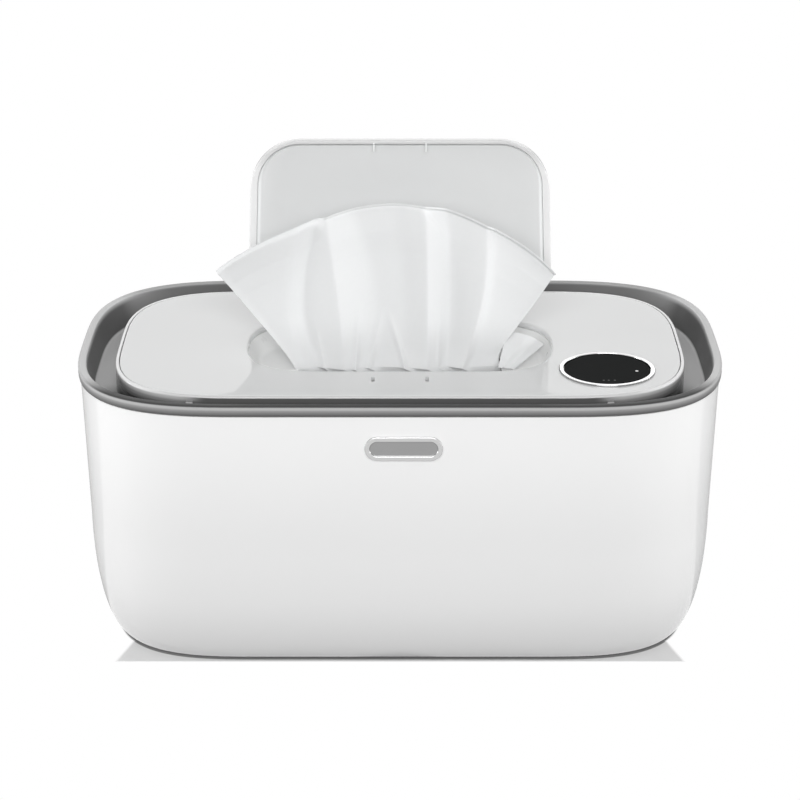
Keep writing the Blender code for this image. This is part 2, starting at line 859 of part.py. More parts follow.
def build_lid_pins(materials):
    half = lid_knuckle_width / 2 + hinge_gap + lid_ear_width
    low = -lid_knuckle_x - half
    high = -lid_knuckle_x + half
    left = [
        cross_ring((low, lid_axis_y, lid_axis_z), lid_pin_radius, "X", 12),
        cross_ring((high, lid_axis_y, lid_axis_z), lid_pin_radius, "X", 12),
    ]
    ring_solid("lid_hinge_pin_left", left, materials["steel"])
    low = lid_knuckle_x - half
    high = lid_knuckle_x + half
    right = [
        cross_ring((low, lid_axis_y, lid_axis_z), lid_pin_radius, "X", 12),
        cross_ring((high, lid_axis_y, lid_axis_z), lid_pin_radius, "X", 12),
        cross_ring((high, lid_axis_y, lid_axis_z), lid_pin_bore, "X", 12),
        cross_ring((low, lid_axis_y, lid_axis_z), lid_pin_bore, "X", 12),
    ]
    ring_solid("lid_hinge_pin_right", right, materials["steel"], closed=True)


def lead_rise_x():
    """The base lead rises outside the right pin and turns into it."""
    return lid_knuckle_x + lid_knuckle_width / 2 + hinge_gap + lid_ear_width + lead_radius * 4


def tube(name, points, radius, material, steps=8):
    """A round tube along points, its rings turned smoothly from one stretch to the next."""
    path = [Vector(point) for point in points]
    rings = []
    side = None
    for i, here in enumerate(path):
        before = path[max(i - 1, 0)]
        after = path[min(i + 1, len(path) - 1)]
        along = (after - before).normalized()
        if side is None:
            helper = Vector((0, 0, 1)) if abs(along.z) < 0.9 else Vector((0, 1, 0))
            side = along.cross(helper).normalized()
        else:
            side = (side - along * side.dot(along)).normalized()
        up = along.cross(side)
        ring = []
        for k in range(steps):
            angle = 2 * math.pi * k / steps
            ring.append(here + side * radius * math.cos(angle) + up * radius * math.sin(angle))
        rings.append([tuple(point) for point in ring])
    return ring_solid(name, rings, material)


def round_corners(points, radius, steps=lead_bend_steps):
    """Replace each inner corner of a path by a short curve that starts and ends a radius away."""
    path = [Vector(point) for point in points]
    result = [path[0]]
    for before, here, after in zip(path, path[1:], path[2:]):
        reach = min(radius, (before - here).length / 2, (after - here).length / 2)
        start = here + (before - here).normalized() * reach
        end = here + (after - here).normalized() * reach
        for i in range(steps + 1):
            t = i / steps
            result.append(start * (1 - t) ** 2 + here * 2 * t * (1 - t) + end * t * t)
    result.append(path[-1])
    return result


def build_base_leads(materials):
    board_low, board_high = board_levels()
    film_low, film_top = heater_levels()[2:4]
    bend = lead_radius * 8
    board_edge = board_x + board_length / 2
    lead_z = (board_low + board_high) / 2
    start_y = board_depth / 4
    route = [
        (board_x - board_length / 2 - seat_gap, start_y, lead_z),
        (socket_x, start_y, lead_z),
        (socket_x, tub_side_y(), lead_z),
        (socket_x, tub_side_y(), socket_z),
        (socket_x, socket_back_y() - seat_gap, socket_z),
    ]
    tube("inlet_lead", round_corners(route, bend), lead_radius, materials["lead"])
    film_edge = (heater_length - film_margin) / 2
    side_x = (heater_length + pad_margin) / 2 + lead_radius * 4
    front_y = -board_depth / 4
    film_z = (film_low + film_top) / 2
    route = [
        (board_edge + seat_gap, front_y, lead_z),
        (side_x, front_y, lead_z),
        (side_x, front_y, film_z),
        (film_edge + seat_gap, front_y, film_z),
    ]
    tube("heater_lead", round_corners(route, lead_radius * 2), heater_lead_radius(), materials["lead"])
    rise_x = lead_rise_x()
    route_back = [
        (board_x, board_depth / 2 + seat_gap, lead_z),
        (board_x, tub_side_y(), lead_z),
        (rise_x, tub_side_y(), lead_z),
        (rise_x, lid_axis_y, lead_rise_z()),
        (rise_x, lid_axis_y, lid_axis_z),
        (lid_knuckle_x + seat_gap, lid_axis_y, lid_axis_z),
    ]
    tube("display_lead_base", round_corners(route_back, bend / 2), lead_radius, materials["lead"])


def heater_lead_radius():
    """Flat enough to pass between the heater plate and the foam pad."""
    return min(lead_radius, film_thickness / 2)


def tub_side_y():
    """Middle of the space between the tub and the case, low down at the back."""
    tub_face = lid_half_y - mouth_inset - tub_draft_run + tub_wall
    return tub_face + lead_radius * 5


def socket_back_y():
    front_y = rim_half_y - case_inset(socket_z + socket_flange_radius) + seat_gap + socket_flange_thickness
    return front_y - socket_body_length


def lead_rise_z():
    return tub_floor_z + (tub_top_z - tub_floor_z) / 2


def build_lid_frame(materials):
    rings = [
        ring_at(lid_outline(0), lid_bottom_z),
        ring_at(lid_outline(0), lid_top_z - lid_edge_round),
        ring_at(lid_outline(lid_edge_round * 0.3), lid_top_z - lid_edge_round * 0.3),
        ring_at(lid_outline(lid_edge_round), lid_top_z),
        ring_at(lid_outline(lid_wall), lid_top_z),
        ring_at(lid_outline(lid_wall), ledge_top_z),
        ring_at(lid_outline(lid_wall + lid_ledge_width), ledge_top_z),
        ring_at(lid_outline(lid_wall + lid_ledge_width), ledge_bottom_z),
        ring_at(lid_outline(lid_wall), ledge_bottom_z),
        ring_at(lid_outline(lid_wall), lid_bottom_z),
    ]
    frame = ring_solid("lid_frame", rings, materials["white"], closed=True)
    for i, (x, y) in enumerate(boss_places()):
        profile = [(liner_boss_radius, liner_top_z + seat_gap), (liner_boss_radius, ledge_top_z)]
        rings = turned_rings((x, y, 0), profile)
        join(frame, rings_tool(f"join_liner_boss_{i + 1}", rings, materials["white"]))
    for side, sign in (("left", -1), ("right", 1)):
        join(frame, box_tool(f"join_tab_{side}", *tab_box(sign), materials["white"]))
        join(frame, rings_tool(f"join_knuckle_{side}", knuckle_rings(sign), materials["white"]))
    for i, (x, y) in enumerate(boss_places()):
        bore = liner_screw_shank + seat_gap
        top = liner_top_z + seat_gap + liner_screw_bite + seat_gap
        tool = turned_rings((x, y, 0), [(bore, liner_top_z - cut_overrun), (bore, top)], 12)
        cut(frame, rings_tool(f"cut_liner_boss_{i + 1}", tool, materials["white"]))
    for side, sign in (("left", -1), ("right", 1)):
        reach = lid_knuckle_width / 2 + cut_overrun / 2
        rings = [
            cross_ring((sign * lid_knuckle_x - reach, lid_axis_y, lid_axis_z), lid_bore(), "X", 12),
            cross_ring((sign * lid_knuckle_x + reach, lid_axis_y, lid_axis_z), lid_bore(), "X", 12),
        ]
        cut(frame, rings_tool(f"cut_knuckle_bore_{side}", rings, materials["white"]))
    hole = lead_radius + lead_hole_gap
    inner_y = lid_half_y - lid_wall - lid_ledge_width - cut_overrun
    rings = [
        cross_ring((lid_lead_x(), inner_y, lid_axis_z), hole, "Y", 12),
        cross_ring((lid_lead_x(), lid_half_y + cut_overrun / 2, lid_axis_z), hole, "Y", 12),
    ]
    cut(frame, rings_tool("cut_lid_lead_hole", rings, materials["white"]))
    return frame


def boss_places():
    front_y = boss_edge_inset - lid_edge_y(boss_front_x)
    back_y = lid_edge_y(boss_back_x) - boss_edge_inset
    return [
        (-boss_front_x, front_y),
        (boss_front_x, front_y),
        (-boss_back_x, back_y),
        (boss_back_x, back_y),
    ]


def tab_box(sign):
    top = lid_top_z - tab_drop
    root_y = lid_edge_y(tab_x + tab_width / 2) - lid_wall / 2
    low = (sign * tab_x - tab_width / 2, -lid_edge_y(tab_x) - tab_reach, top - tab_thickness)
    high = (sign * tab_x + tab_width / 2, -root_y, top)
    return low, high


def knuckle_rings(sign):
    """A round knuckle about the lid's axis with a web that runs into the lid's back wall."""
    steps = 10
    root_y = lid_half_y - lid_wall / 2
    outline = [(root_y, lid_axis_z + lid_knuckle_radius), (root_y, lid_axis_z - lid_knuckle_radius)]
    for i in range(steps + 1):
        angle = -math.pi / 2 + math.pi * i / steps
        outline.append(
            (
                lid_axis_y + lid_knuckle_radius * math.cos(angle),
                lid_axis_z + lid_knuckle_radius * math.sin(angle),
            )
        )
    low = sign * lid_knuckle_x - lid_knuckle_width / 2
    high = sign * lid_knuckle_x + lid_knuckle_width / 2
    return [[(low, y, z) for y, z in outline], [(high, y, z) for y, z in outline]]


def lid_lead_x():
    return lid_knuckle_x - lid_knuckle_width / 2 - hinge_gap - lid_ear_width - lead_radius * 5


def build_top_panel(materials):
    panel_inset = lid_wall + seat_gap
    rings = [
        ring_at(lid_outline(panel_inset), panel_bottom_z),
        ring_at(lid_outline(panel_inset), lid_top_z - panel_edge_round),
        ring_at(lid_outline(panel_inset + panel_edge_round), lid_top_z),
    ]
    panel = ring_solid("lid_top_panel", rings, materials["panel"])
    low = panel_bottom_z - cut_overrun
    high = lid_top_z + cut_overrun
    opening = [ring_at(opening_outline(0), low), ring_at(opening_outline(0), high)]
    cut(panel, rings_tool("cut_opening", opening, materials["panel"]))
    hole = lens_radius + bezel_wall + seat_gap * 2
    display = turned_rings((display_x, display_y, 0), [(hole, low), (hole, high)], display_steps)
    cut(panel, rings_tool("cut_display", display, materials["panel"]))
    for side, sign in (("left", -1), ("right", 1)):
        box_low = (sign * latch_slit_x - latch_slit_width / 2, latch_slit_y - latch_slit_length / 2, low)
        box_high = (sign * latch_slit_x + latch_slit_width / 2, latch_slit_y + latch_slit_length / 2, high)
        cut(panel, box_tool(f"cut_slit_{side}", box_low, box_high, materials["panel"]))
    for side, sign in (("left", -1), ("right", 1)):
        join(panel, rings_tool(f"join_flap_ear_{side}", flap_ear_rings(sign), materials["panel"]))
    for side, sign in (("left", -1), ("right", 1)):
        reach = flap_ear_width / 2 + cut_overrun / 2
        rings = [
            cross_ring((sign * flap_ear_x - reach, flap_axis_y, flap_axis_z), flap_bore(), "X", 12),
            cross_ring((sign * flap_ear_x + reach, flap_axis_y, flap_axis_z), flap_bore(), "X", 12),
        ]
        cut(panel, rings_tool(f"cut_flap_ear_{side}", rings, materials["panel"]))
    return panel


def flap_bore():
    return flap_pin_radius + running_gap


def flap_ear_radius():
    return flap_height / 2 - seat_gap


def flap_ear_rings(sign):
    """A small ear on the panel, round about the flap's axis."""
    steps = 8
    radius = flap_ear_radius()
    root_z = lid_top_z - panel_thickness / 2
    outline = [(flap_axis_y - radius, root_z), (flap_axis_y + radius, root_z)]
    for i in range(steps + 1):
        angle = math.pi * i / steps
        outline.append((flap_axis_y + radius * math.cos(angle), flap_axis_z + radius * math.sin(angle)))
    low = sign * flap_ear_x - flap_ear_width / 2
    high = sign * flap_ear_x + flap_ear_width / 2
    return [[(low, y, z) for y, z in outline], [(high, y, z) for y, z in outline]]


def build_well(materials):
    """A shallow tray: a flange under the panel, a sloped wall and a floor with the slot."""
    flange_top = panel_bottom_z - seat_gap
    wall_inset = well_slope_run
    rings = [
        ring_at(opening_outline(-well_flange), flange_top),
        ring_at(opening_outline(0), flange_top),
        ring_at(opening_outline(wall_inset), well_floor_z + well_wall / 2),
        ring_at(opening_outline(wall_inset + well_wall / 2), well_floor_z),
        ring_at(slot_outline(0), well_floor_z),
        ring_at(slot_outline(0), well_floor_z - well_wall),
        ring_at(opening_outline(wall_inset - well_wall / 2), well_floor_z - well_wall),
        ring_at(opening_outline(-well_wall), flange_top - well_wall),
        ring_at(opening_outline(-well_flange), flange_top - well_wall),
    ]
    return ring_solid("dispensing_well", rings, materials["panel"], closed=True)


def well_outer_inset(z):
    """How far the outer face of the well's sloped wall stands inside the opening at height z."""
    top_z = panel_bottom_z - seat_gap - well_wall
    low_z = well_floor_z - well_wall
    share = (top_z - z) / (top_z - low_z)
    return -well_wall + (well_slope_run + well_wall / 2) * share


def build_liner(materials):
    liner_inset = lid_wall + seat_gap
    hole_inset = well_outer_inset(liner_top_z) - liner_well_gap
    rings = [
        ring_at(lid_outline(liner_inset), liner_bottom_z),
        ring_at(lid_outline(liner_inset), liner_top_z),
        ring_at(opening_outline(hole_inset), liner_top_z),
        ring_at(opening_outline(hole_inset), liner_bottom_z),
    ]
    liner = ring_solid("lid_liner", rings, materials["inner"], closed=True, smooth=False)
    for i, (x, y) in enumerate(boss_places()):
        hole = liner_screw_shank + screw_clearance
        profile = [(hole, liner_bottom_z - cut_overrun), (hole, liner_top_z + cut_overrun)]
        rings = turned_rings((x, y, 0), profile, 12)
        cut(liner, rings_tool(f"cut_liner_screw_{i + 1}", rings, materials["inner"]))
    return liner


def build_liner_screws(materials):
    for i, (x, y) in enumerate(boss_places()):
        head_top = liner_bottom_z - seat_gap
        tip = liner_top_z + seat_gap + liner_screw_bite
        profile = [
            (liner_screw_head, head_top - liner_screw_head_height),
            (liner_screw_head, head_top),
            (liner_screw_shank, head_top),
            (liner_screw_shank, tip - liner_screw_shank),
            (liner_screw_shank / 2, tip),
        ]
        ring_solid(f"liner_screw_{i + 1}", turned_rings((x, y, 0), profile, 10), materials["steel"])


def build_seal(materials):
    low = gutter_top_z + seat_gap
    high = liner_bottom_z - seat_gap
    inner = seal_edge_inset + seal_width
    side = seal_width / 6
    rings = [
        ring_at(lid_outline(seal_edge_inset + side), low),
        ring_at(lid_outline(seal_edge_inset), high),
        ring_at(lid_outline(inner), high),
        ring_at(lid_outline(inner - side), low),
    ]
    return ring_solid("lid_seal", rings, materials["silicone"], closed=True)


def build_display(materials):
    center = (display_x, display_y, 0)
    flange_low = lid_top_z + seat_gap
    flange_top = flange_low + bezel_flange_lift
    bore = lens_radius + seat_gap
    tube_radius = bore + bezel_wall - seat_gap
    ledge_top = lid_top_z - lens_thickness
    ledge_low = ledge_top - bezel_ledge_thickness
    profile = [
        (bezel_radius, flange_low),
        (bezel_radius - bezel_flange_lift / 2, flange_top),
        (bore, flange_top),
        (bore, ledge_top),
        (bore - bezel_ledge_width, ledge_top),
        (bore - bezel_ledge_width, ledge_low),
        (tube_radius, ledge_low),
        (tube_radius, flange_low),
    ]
    rings = turned_rings(center, profile, display_steps)
    ring_solid("display_bezel", rings, materials["chrome"], closed=True)
    lens_low = ledge_top + seat_gap
    lens_top = lens_low + lens_thickness
    edge = lens_thickness / 6
    profile = [(lens_radius, lens_low), (lens_radius, lens_top - edge), (lens_radius - edge, lens_top)]
    ring_solid("display_lens", turned_rings(center, profile, display_steps), materials["black"])
    board_top = ledge_low - seat_gap
    board_radius = lens_radius - bezel_ledge_width / 2
    profile = [(board_radius, board_top - display_board_thickness), (board_radius, board_top)]
    rings = turned_rings(center, profile, display_steps)
    ring_solid("display_board", rings, materials["board"], smooth=False)


def display_board_z():
    board_top = lid_top_z - lens_thickness - bezel_ledge_thickness - seat_gap
    return board_top - display_board_thickness / 2


def build_lid_lead(materials):
    start_x = lid_knuckle_x - seat_gap
    x = lid_lead_x()
    inside_y = lid_half_y - lid_wall - lid_ledge_width - lead_radius * 4
    corner_x = opening_length / 2 + well_flange + lead_radius * 4
    board_z = display_board_z()
    board_y = display_y + lens_radius
    route = [
        (start_x, lid_axis_y, lid_axis_z),
        (x, lid_axis_y, lid_axis_z),
        (x, inside_y, lid_axis_z),
        (corner_x, opening_y + opening_depth / 2, board_z),
        (display_x, board_y + lens_radius / 2, board_z),
        (display_x, board_y + lead_radius, board_z),
    ]
    tube("display_lead_lid", round_corners(route, lead_radius * 4), lead_radius, materials["lead"])


def build_flap_pins(materials):
    for side, sign in (("left", -1), ("right", 1)):
        half = flap_ear_width / 2 + flap_notch_gap + flap_pin_reach
        rings = [
            cross_ring((sign * flap_ear_x - half, flap_axis_y, flap_axis_z), flap_pin_radius, "X", 12),
            cross_ring((sign * flap_ear_x + half, flap_axis_y, flap_axis_z), flap_pin_radius, "X", 12),
        ]
        ring_solid(f"flap_hinge_pin_{side}", rings, materials["steel"])


def flap_outline(inset, end_inset=None):
    """The closed flap seen from above about its hinge axis: four round corners, narrower in front."""
    end_inset = inset if end_inset is None else end_inset
    corner = flap_corner - inset
    back_x = flap_width / 2 - flap_corner
    front_x = back_x - flap_taper
    back_y = -flap_corner
    front_y = corner + end_inset + flap_height / 2 - flap_length
    steps = 8
    centers = [(back_x, back_y), (-back_x, back_y), (-front_x, front_y), (front_x, front_y)]
    points = []
    for quarter, (center_x, center_y) in enumerate(centers):
        for i in range(steps + 1):
            angle = math.pi / 2 * (quarter + i / steps)
            points.append((center_x + corner * math.cos(angle), center_y + corner * math.sin(angle)))
    return points


def build_flap(materials, hinge):
    """The flap is drawn closed about its hinge axis, and its parent empty stands it open."""
    half = flap_height / 2
    roof_low = half - flap_roof
    rings = [
        ring_at(flap_outline(0), -half),
        ring_at(flap_outline(0), half - flap_edge_round),
        ring_at(flap_outline(flap_edge_round * 0.3), half - flap_edge_round * 0.3),
        ring_at(flap_outline(flap_edge_round), half),
    ]
    shell = ring_solid("flap_shell", rings, materials["white"])
    inside = flap_outline(flap_rim_width, flap_end_wall)
    hollow = [ring_at(inside, -half - cut_overrun), ring_at(inside, roof_low)]
    cavity = rings_tool("cut_flap_hollow", hollow, materials["white"])
    cut(shell, cavity)
    barrel_end = flap_width / 2 - flap_corner - flap_rim_width / 3
    barrel = [
        cross_ring((-barrel_end, 0, 0), half, "X", 24, barrel_turn_share),
        cross_ring((barrel_end, 0, 0), half, "X", 24, barrel_turn_share),
    ]
    barrel_tool = rings_tool("join_flap_barrel", barrel, materials["white"])
    join(shell, barrel_tool)
    tools = [cavity, barrel_tool]
    for side, sign in (("left", -1), ("right", 1)):
        notch = flap_ear_width / 2 + flap_notch_gap
        low = (sign * flap_ear_x - notch, -half - flap_notch_gap, -half - cut_overrun)
        high = (sign * flap_ear_x + notch, half + cut_overrun, half + cut_overrun)
        tool = box_tool(f"cut_flap_notch_{side}", low, high, materials["white"])
        cut(shell, tool)
        tools.append(tool)
        reach = notch + flap_pin_reach + seat_gap
        bore = flap_bore()
        rings = [
            cross_ring((sign * flap_ear_x - reach, 0, 0), bore, "X", 12),
            cross_ring((sign * flap_ear_x + reach, 0, 0), bore, "X", 12),
        ]
        tool = rings_tool(f"cut_flap_bore_{side}", rings, materials["white"])
        cut(shell, tool)
        tools.append(tool)
    for side, sign in (("left", -1), ("right", 1)):
        x = sign * latch_slit_x
        y = latch_slit_y - flap_axis_y
        low = (x - flap_blade_width / 2, y - flap_blade_length / 2, -half - flap_blade_reach)
        high = (x + flap_blade_width / 2, y + flap_blade_length / 2, half - flap_roof / 2)
        tool = box_tool(f"join_flap_blade_{side}", low, high, materials["white"])
        join(shell, tool)
        tools.append(tool)
    liner = build_flap_liner(materials, roof_low)
    for item in [shell, liner] + tools:
        item.parent = hinge
    return shell


def build_flap_liner(materials, roof_low):
    high = roof_low - seat_gap
    low = high - flap_liner_thickness
    back_y = -flap_height / 2 - flap_notch_gap - seat_gap
    inside = flap_outline(flap_rim_width + seat_gap, flap_end_wall + seat_gap)
    outline = [(x, min(y, back_y)) for x, y in inside]
    rings = [ring_at(outline, low), ring_at(outline, high)]
    liner = ring_solid("flap_liner", rings, materials["inner"], smooth=False)
    for side, sign in (("left", -1), ("right", 1)):
        y = latch_slit_y - flap_axis_y
        half_x = flap_blade_width / 2 + seat_gap
        half_y = flap_blade_length / 2 + seat_gap
        box_low = (sign * latch_slit_x - half_x, y - half_y, low - cut_overrun)
        box_high = (sign * latch_slit_x + half_x, y + half_y, high + cut_overrun)
        tool = box_tool(f"cut_liner_blade_{side}", box_low, box_high, materials["inner"])
        tool.parent = bpy.data.objects["flap_hinge_axis"]
        cut(liner, tool)
    return liner


def wipe_grid():
    """Middle surface of the pulled wipe as rows from the tail in the tub up to the fan's edge.

    Below the slot the cloth narrows to its tail. Above it, each row widens towards the fan's
    two corners, and the fan's edge is a low arch between them. The folds run up the cloth and
    fade towards its edge: their depth is a sine of the place across the cloth, pinched near the
    slot where the cloth is gathered.
    """
    tail_z = stack_top_z + seat_gap
    slot_z = well_floor_z
    tail_rows = 4
    across = np.linspace(-1.0, 1.0, wipe_columns + 1)
    rows = []
    for i in range(tail_rows):
        t = i / tail_rows
        half = wipe_half_tail + (wipe_half_slot - wipe_half_tail) * t
        depth = wipe_fold_depth * (0.7 + 0.3 * t)
        z = np.full_like(across, tail_z + (slot_z - tail_z) * t)
        y = wipe_y + depth * np.sin(wipe_fold_count * math.pi * across)
        rows.append(np.stack([half * across, y, z], axis=1))
    left = across < 0
    well_depth = lid_top_z - slot_z
    reach = np.where(left, wipe_left_reach, wipe_right_reach)
    corner_rise = well_depth + np.where(left, wipe_left_rise, wipe_right_rise)
    peak_rise = well_depth + wipe_rise
    edge_rise = peak_rise + (corner_rise - peak_rise) * across ** 2
    for i in range(wipe_rows + 1):
        t = i / wipe_rows
        x = (wipe_half_slot + (reach - wipe_half_slot) * t) * across
        x = x + wipe_peak_x * t * (1 - across ** 2)
        depth = wipe_fold_depth * (1 - 0.75 * t)
        fold = np.sin(wipe_fold_count * math.pi * across + 0.9 * t)
        y = wipe_y + depth * fold + wipe_lean * t * across ** 2
        rows.append(np.stack([x, y, slot_z + edge_rise * t], axis=1))
    return np.array(rows)


def sheet_solid(name, middle, thickness, material):
    """A closed solid about a grid of points, half the thickness to either side along its normals."""
    along = np.gradient(middle, axis=1)
    up = np.gradient(middle, axis=0)
    normal = np.cross(along, up)
    normal /= np.linalg.norm(normal, axis=2, keepdims=True)
    front = middle + normal * thickness / 2
    back = middle - normal * thickness / 2
    rings = []
    for front_row, back_row in zip(front, back):
        ring = [tuple(point) for point in front_row]
        ring.extend(tuple(point) for point in back_row[::-1])
        rings.append(ring)
    return strip_solid(name, rings, material)


def strip_solid(name, rings, material):
    """Rings that run along a sheet's front and back again, closed by narrow end strips."""
    mesh = bpy.data.meshes.new(name)
    builder = bmesh.new()
    loops = [[builder.verts.new(point) for point in ring] for ring in rings]
    count = len(rings[0])
    for lower, upper in zip(loops, loops[1:]):
        for i in range(count):
            j = (i + 1) % count
            builder.faces.new((lower[i], lower[j], upper[j], upper[i]))
    for loop in (loops[0], loops[-1]):
        for i in range(count // 2 - 1):
            builder.faces.new((loop[i], loop[i + 1], loop[count - 2 - i], loop[count - 1 - i]))
    bmesh.ops.recalc_face_normals(builder, faces=builder.faces)
    builder.to_mesh(mesh)
    builder.free()
    return add_object(name, mesh, material)


def build_wipes(materials):
    sheet_solid("pulled_wipe", wipe_grid(), wipe_thickness, materials["wipe"])
    sheet_solid("next_wipe", next_wipe_grid(), wipe_thickness, materials["wipe"])


def next_wipe_grid():
    """A loose corner of the next wipe: a small sheet lying in the well in two soft humps."""
    low_z = well_floor_z + seat_gap + wipe_thickness
    rows = []
    for v in np.linspace(0.0, 1.0, 9):
        u = np.linspace(0.0, 1.0, 9)
        x = next_wipe_x - next_wipe_length / 2 + next_wipe_length * u * (1 - 0.4 * v)
        y = wipe_y + next_wipe_depth * (v - 0.5)
        hump = np.sin(math.pi * u) * (0.6 + 0.4 * np.cos(2 * math.pi * v))
        z = low_z + next_wipe_rise * hump
        rows.append(np.stack([x, np.full_like(x, y), z], axis=1))
    return np.array(rows)


def build_flap_hinge():
    hinge = bpy.data.objects.new("flap_hinge_axis", None)
    bpy.context.scene.collection.objects.link(hinge)
    hinge.location = (0, flap_axis_y, flap_axis_z)
    hinge.rotation_euler = (-flap_open_angle, 0, 0)
    return hinge


def parent_lid():
    """The lid's pieces hang on an empty on the lid's hinge axis."""
    hinge = bpy.data.objects.new("lid_hinge_axis", None)
    bpy.context.scene.collection.objects.link(hinge)
    hinge.location = (0, lid_axis_y, lid_axis_z)
    bpy.context.view_layer.update()
    names = ["lid_frame", "lid_top_panel", "dispensing_well", "lid_liner", "lid_seal", "display_bezel"]
    names += ["display_lens", "display_board", "display_lead_lid", "pulled_wipe", "next_wipe"]
    names += ["flap_hinge_pin_left", "flap_hinge_pin_right", "flap_hinge_axis"]
    names += [f"liner_screw_{i + 1}" for i in range(len(boss_places()))]
    back = Matrix.Translation(hinge.location).inverted()
    for name in names:
        item = bpy.data.objects[name]
        item.parent = hinge
        item.matrix_parent_inverse = back


def main():
    clear_scene()
    materials = make_materials()
    build_outer_case(materials)
    build_base_plate(materials)
    build_feet(materials)
    build_base_screws(materials)
    build_rim_frame(materials)
    build_inner_tub(materials)
    build_heater(materials)
    build_board(materials)
    build_socket(materials)
    build_badge(materials)
    build_wipe_stack(materials)
    build_lid_pins(materials)
    build_base_leads(materials)
    build_lid_frame(materials)
    build_top_panel(materials)
    build_well(materials)
    build_liner(materials)
    build_liner_screws(materials)
    build_seal(materials)
    build_display(materials)
    build_lid_lead(materials)
    build_flap_pins(materials)
    hinge = build_flap_hinge()
    build_flap(materials, hinge)
    build_wipes(materials)
    parent_lid()
    bpy.context.view_layer.update()


main()
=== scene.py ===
# Baby wipe warmer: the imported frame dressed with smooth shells, cloth and finishes.
import math
import bmesh
import bpy
import numpy as np
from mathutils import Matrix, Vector


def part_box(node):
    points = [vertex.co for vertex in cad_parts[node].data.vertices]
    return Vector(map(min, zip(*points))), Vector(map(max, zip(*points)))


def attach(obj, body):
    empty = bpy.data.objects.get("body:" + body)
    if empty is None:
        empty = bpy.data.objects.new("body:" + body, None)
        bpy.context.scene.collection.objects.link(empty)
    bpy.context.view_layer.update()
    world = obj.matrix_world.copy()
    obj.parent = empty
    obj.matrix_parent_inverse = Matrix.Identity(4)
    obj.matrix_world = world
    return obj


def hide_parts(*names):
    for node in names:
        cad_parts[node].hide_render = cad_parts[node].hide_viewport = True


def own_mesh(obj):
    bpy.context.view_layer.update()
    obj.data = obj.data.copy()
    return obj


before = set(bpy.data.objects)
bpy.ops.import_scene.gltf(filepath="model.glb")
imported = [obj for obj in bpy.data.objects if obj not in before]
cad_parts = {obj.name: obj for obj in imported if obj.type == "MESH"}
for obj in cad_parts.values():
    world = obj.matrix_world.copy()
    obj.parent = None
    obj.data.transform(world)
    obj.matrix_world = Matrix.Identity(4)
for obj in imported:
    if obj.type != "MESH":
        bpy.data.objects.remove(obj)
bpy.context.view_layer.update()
print("frame loaded,", len(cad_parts), "nodes")

# Outlines that several pieces follow, in metres
rimShape = {"halfX": 0.125, "halfY": 0.0728, "corner": 0.0694, "power": 3.0}
lidShape = {"halfX": 0.1106, "halfY": 0.0610, "corner": 0.0550, "power": 3.0}
openingShape = {"halfX": 0.0595, "halfY": 0.0293, "corner": 0.0293, "power": 2.6, "y": -0.0041}
slotShape = {"halfX": 0.0400, "halfY": 0.0170, "corner": 0.0102, "power": 2.0, "y": -0.0041}
levels = {
    "rimTop": 0.1100, "rimBottom": 0.10565, "caseTop": 0.10535, "lidTop": 0.1092, "lidBottom": 0.0989,
    "gutterTop": 0.0986, "gutterBottom": 0.0968, "panelBottom": 0.1074, "ledgeTop": 0.1071,
    "ledgeBottom": 0.1053, "linerBottom": 0.1012, "linerTop": 0.1028, "tubTop": 0.0965,
    "tubFloor": 0.0200, "wellFloor": 0.1004, "stackTop": 0.0618,
}
lidAxis = (0.0646, 0.1063)  # y and z
flapAxis = (0.0263, 0.1121)
displaySpot = (0.0794, -0.0324)  # x and y
clearance = 0.0003  # between pieces that stand free of each other
cornerSteps = 28


# Mesh code

def cornerLine(shape, inset):
    # Four quarter superellipses: along = core + r cos(a)^(2/p), across = core + r sin(a)^(2/p)
    r = shape["corner"] - inset
    power = 2 / shape["power"]
    a = np.linspace(0, math.pi / 2, cornerSteps + 1)
    c = np.clip(np.cos(a), 0, 1) ** power
    s = np.clip(np.sin(a), 0, 1) ** power
    coreX = shape["halfX"] - shape["corner"]
    coreY = shape["halfY"] - shape["corner"]
    x = np.concatenate([coreX + r * c, -coreX - r * s, -coreX - r * c, coreX + r * s])
    y = np.concatenate([coreY + r * s, coreY + r * c, -coreY - r * s, -coreY - r * c])
    return np.stack([x, y + shape.get("y", 0)], 1)


def ringsFrom(shape, profile):
    # One ring of points for each (inset, z)
    return np.array([np.c_[cornerLine(shape, inset), np.full(4 * (cornerSteps + 1), z)] for inset, z in profile])


def roundOver(start, corner, end, radius, steps=5):
    # A profile corner replaced by a quadratic bend that leaves each side one radius from the corner
    start, corner, end = (np.array(p, float) for p in (start, corner, end))
    a = corner + (start - corner) * min(1, radius / np.linalg.norm(start - corner))
    b = corner + (end - corner) * min(1, radius / np.linalg.norm(end - corner))
    t = np.linspace(0, 1, steps + 1)[:, None]
    return a * (1 - t) ** 2 + corner * 2 * t * (1 - t) + b * t ** 2


def softProfile(points, radii, wrap=False):
    # Each point of a profile rounded by its own radius, zero keeps it sharp
    count = len(points)
    made = []
    for i, (point, radius) in enumerate(zip(points, radii)):
        if radius == 0 or (not wrap and i in (0, count - 1)):
            made.append(np.array([point], float))
        else:
            made.append(roundOver(points[i - 1], point, points[(i + 1) % count], radius))
    return np.concatenate(made)


def gridFaces(rows, columns, wrapRows, wrapColumns):
    i = np.arange(rows if wrapRows else rows - 1)[:, None]
    j = np.arange(columns if wrapColumns else columns - 1)[None, :]
    down, right = (i + 1) % rows, (j + 1) % columns
    corners = [i * columns + j, i * columns + right, down * columns + right, down * columns + j]
    return np.stack(np.broadcast_arrays(*corners), -1).reshape(-1, 4)


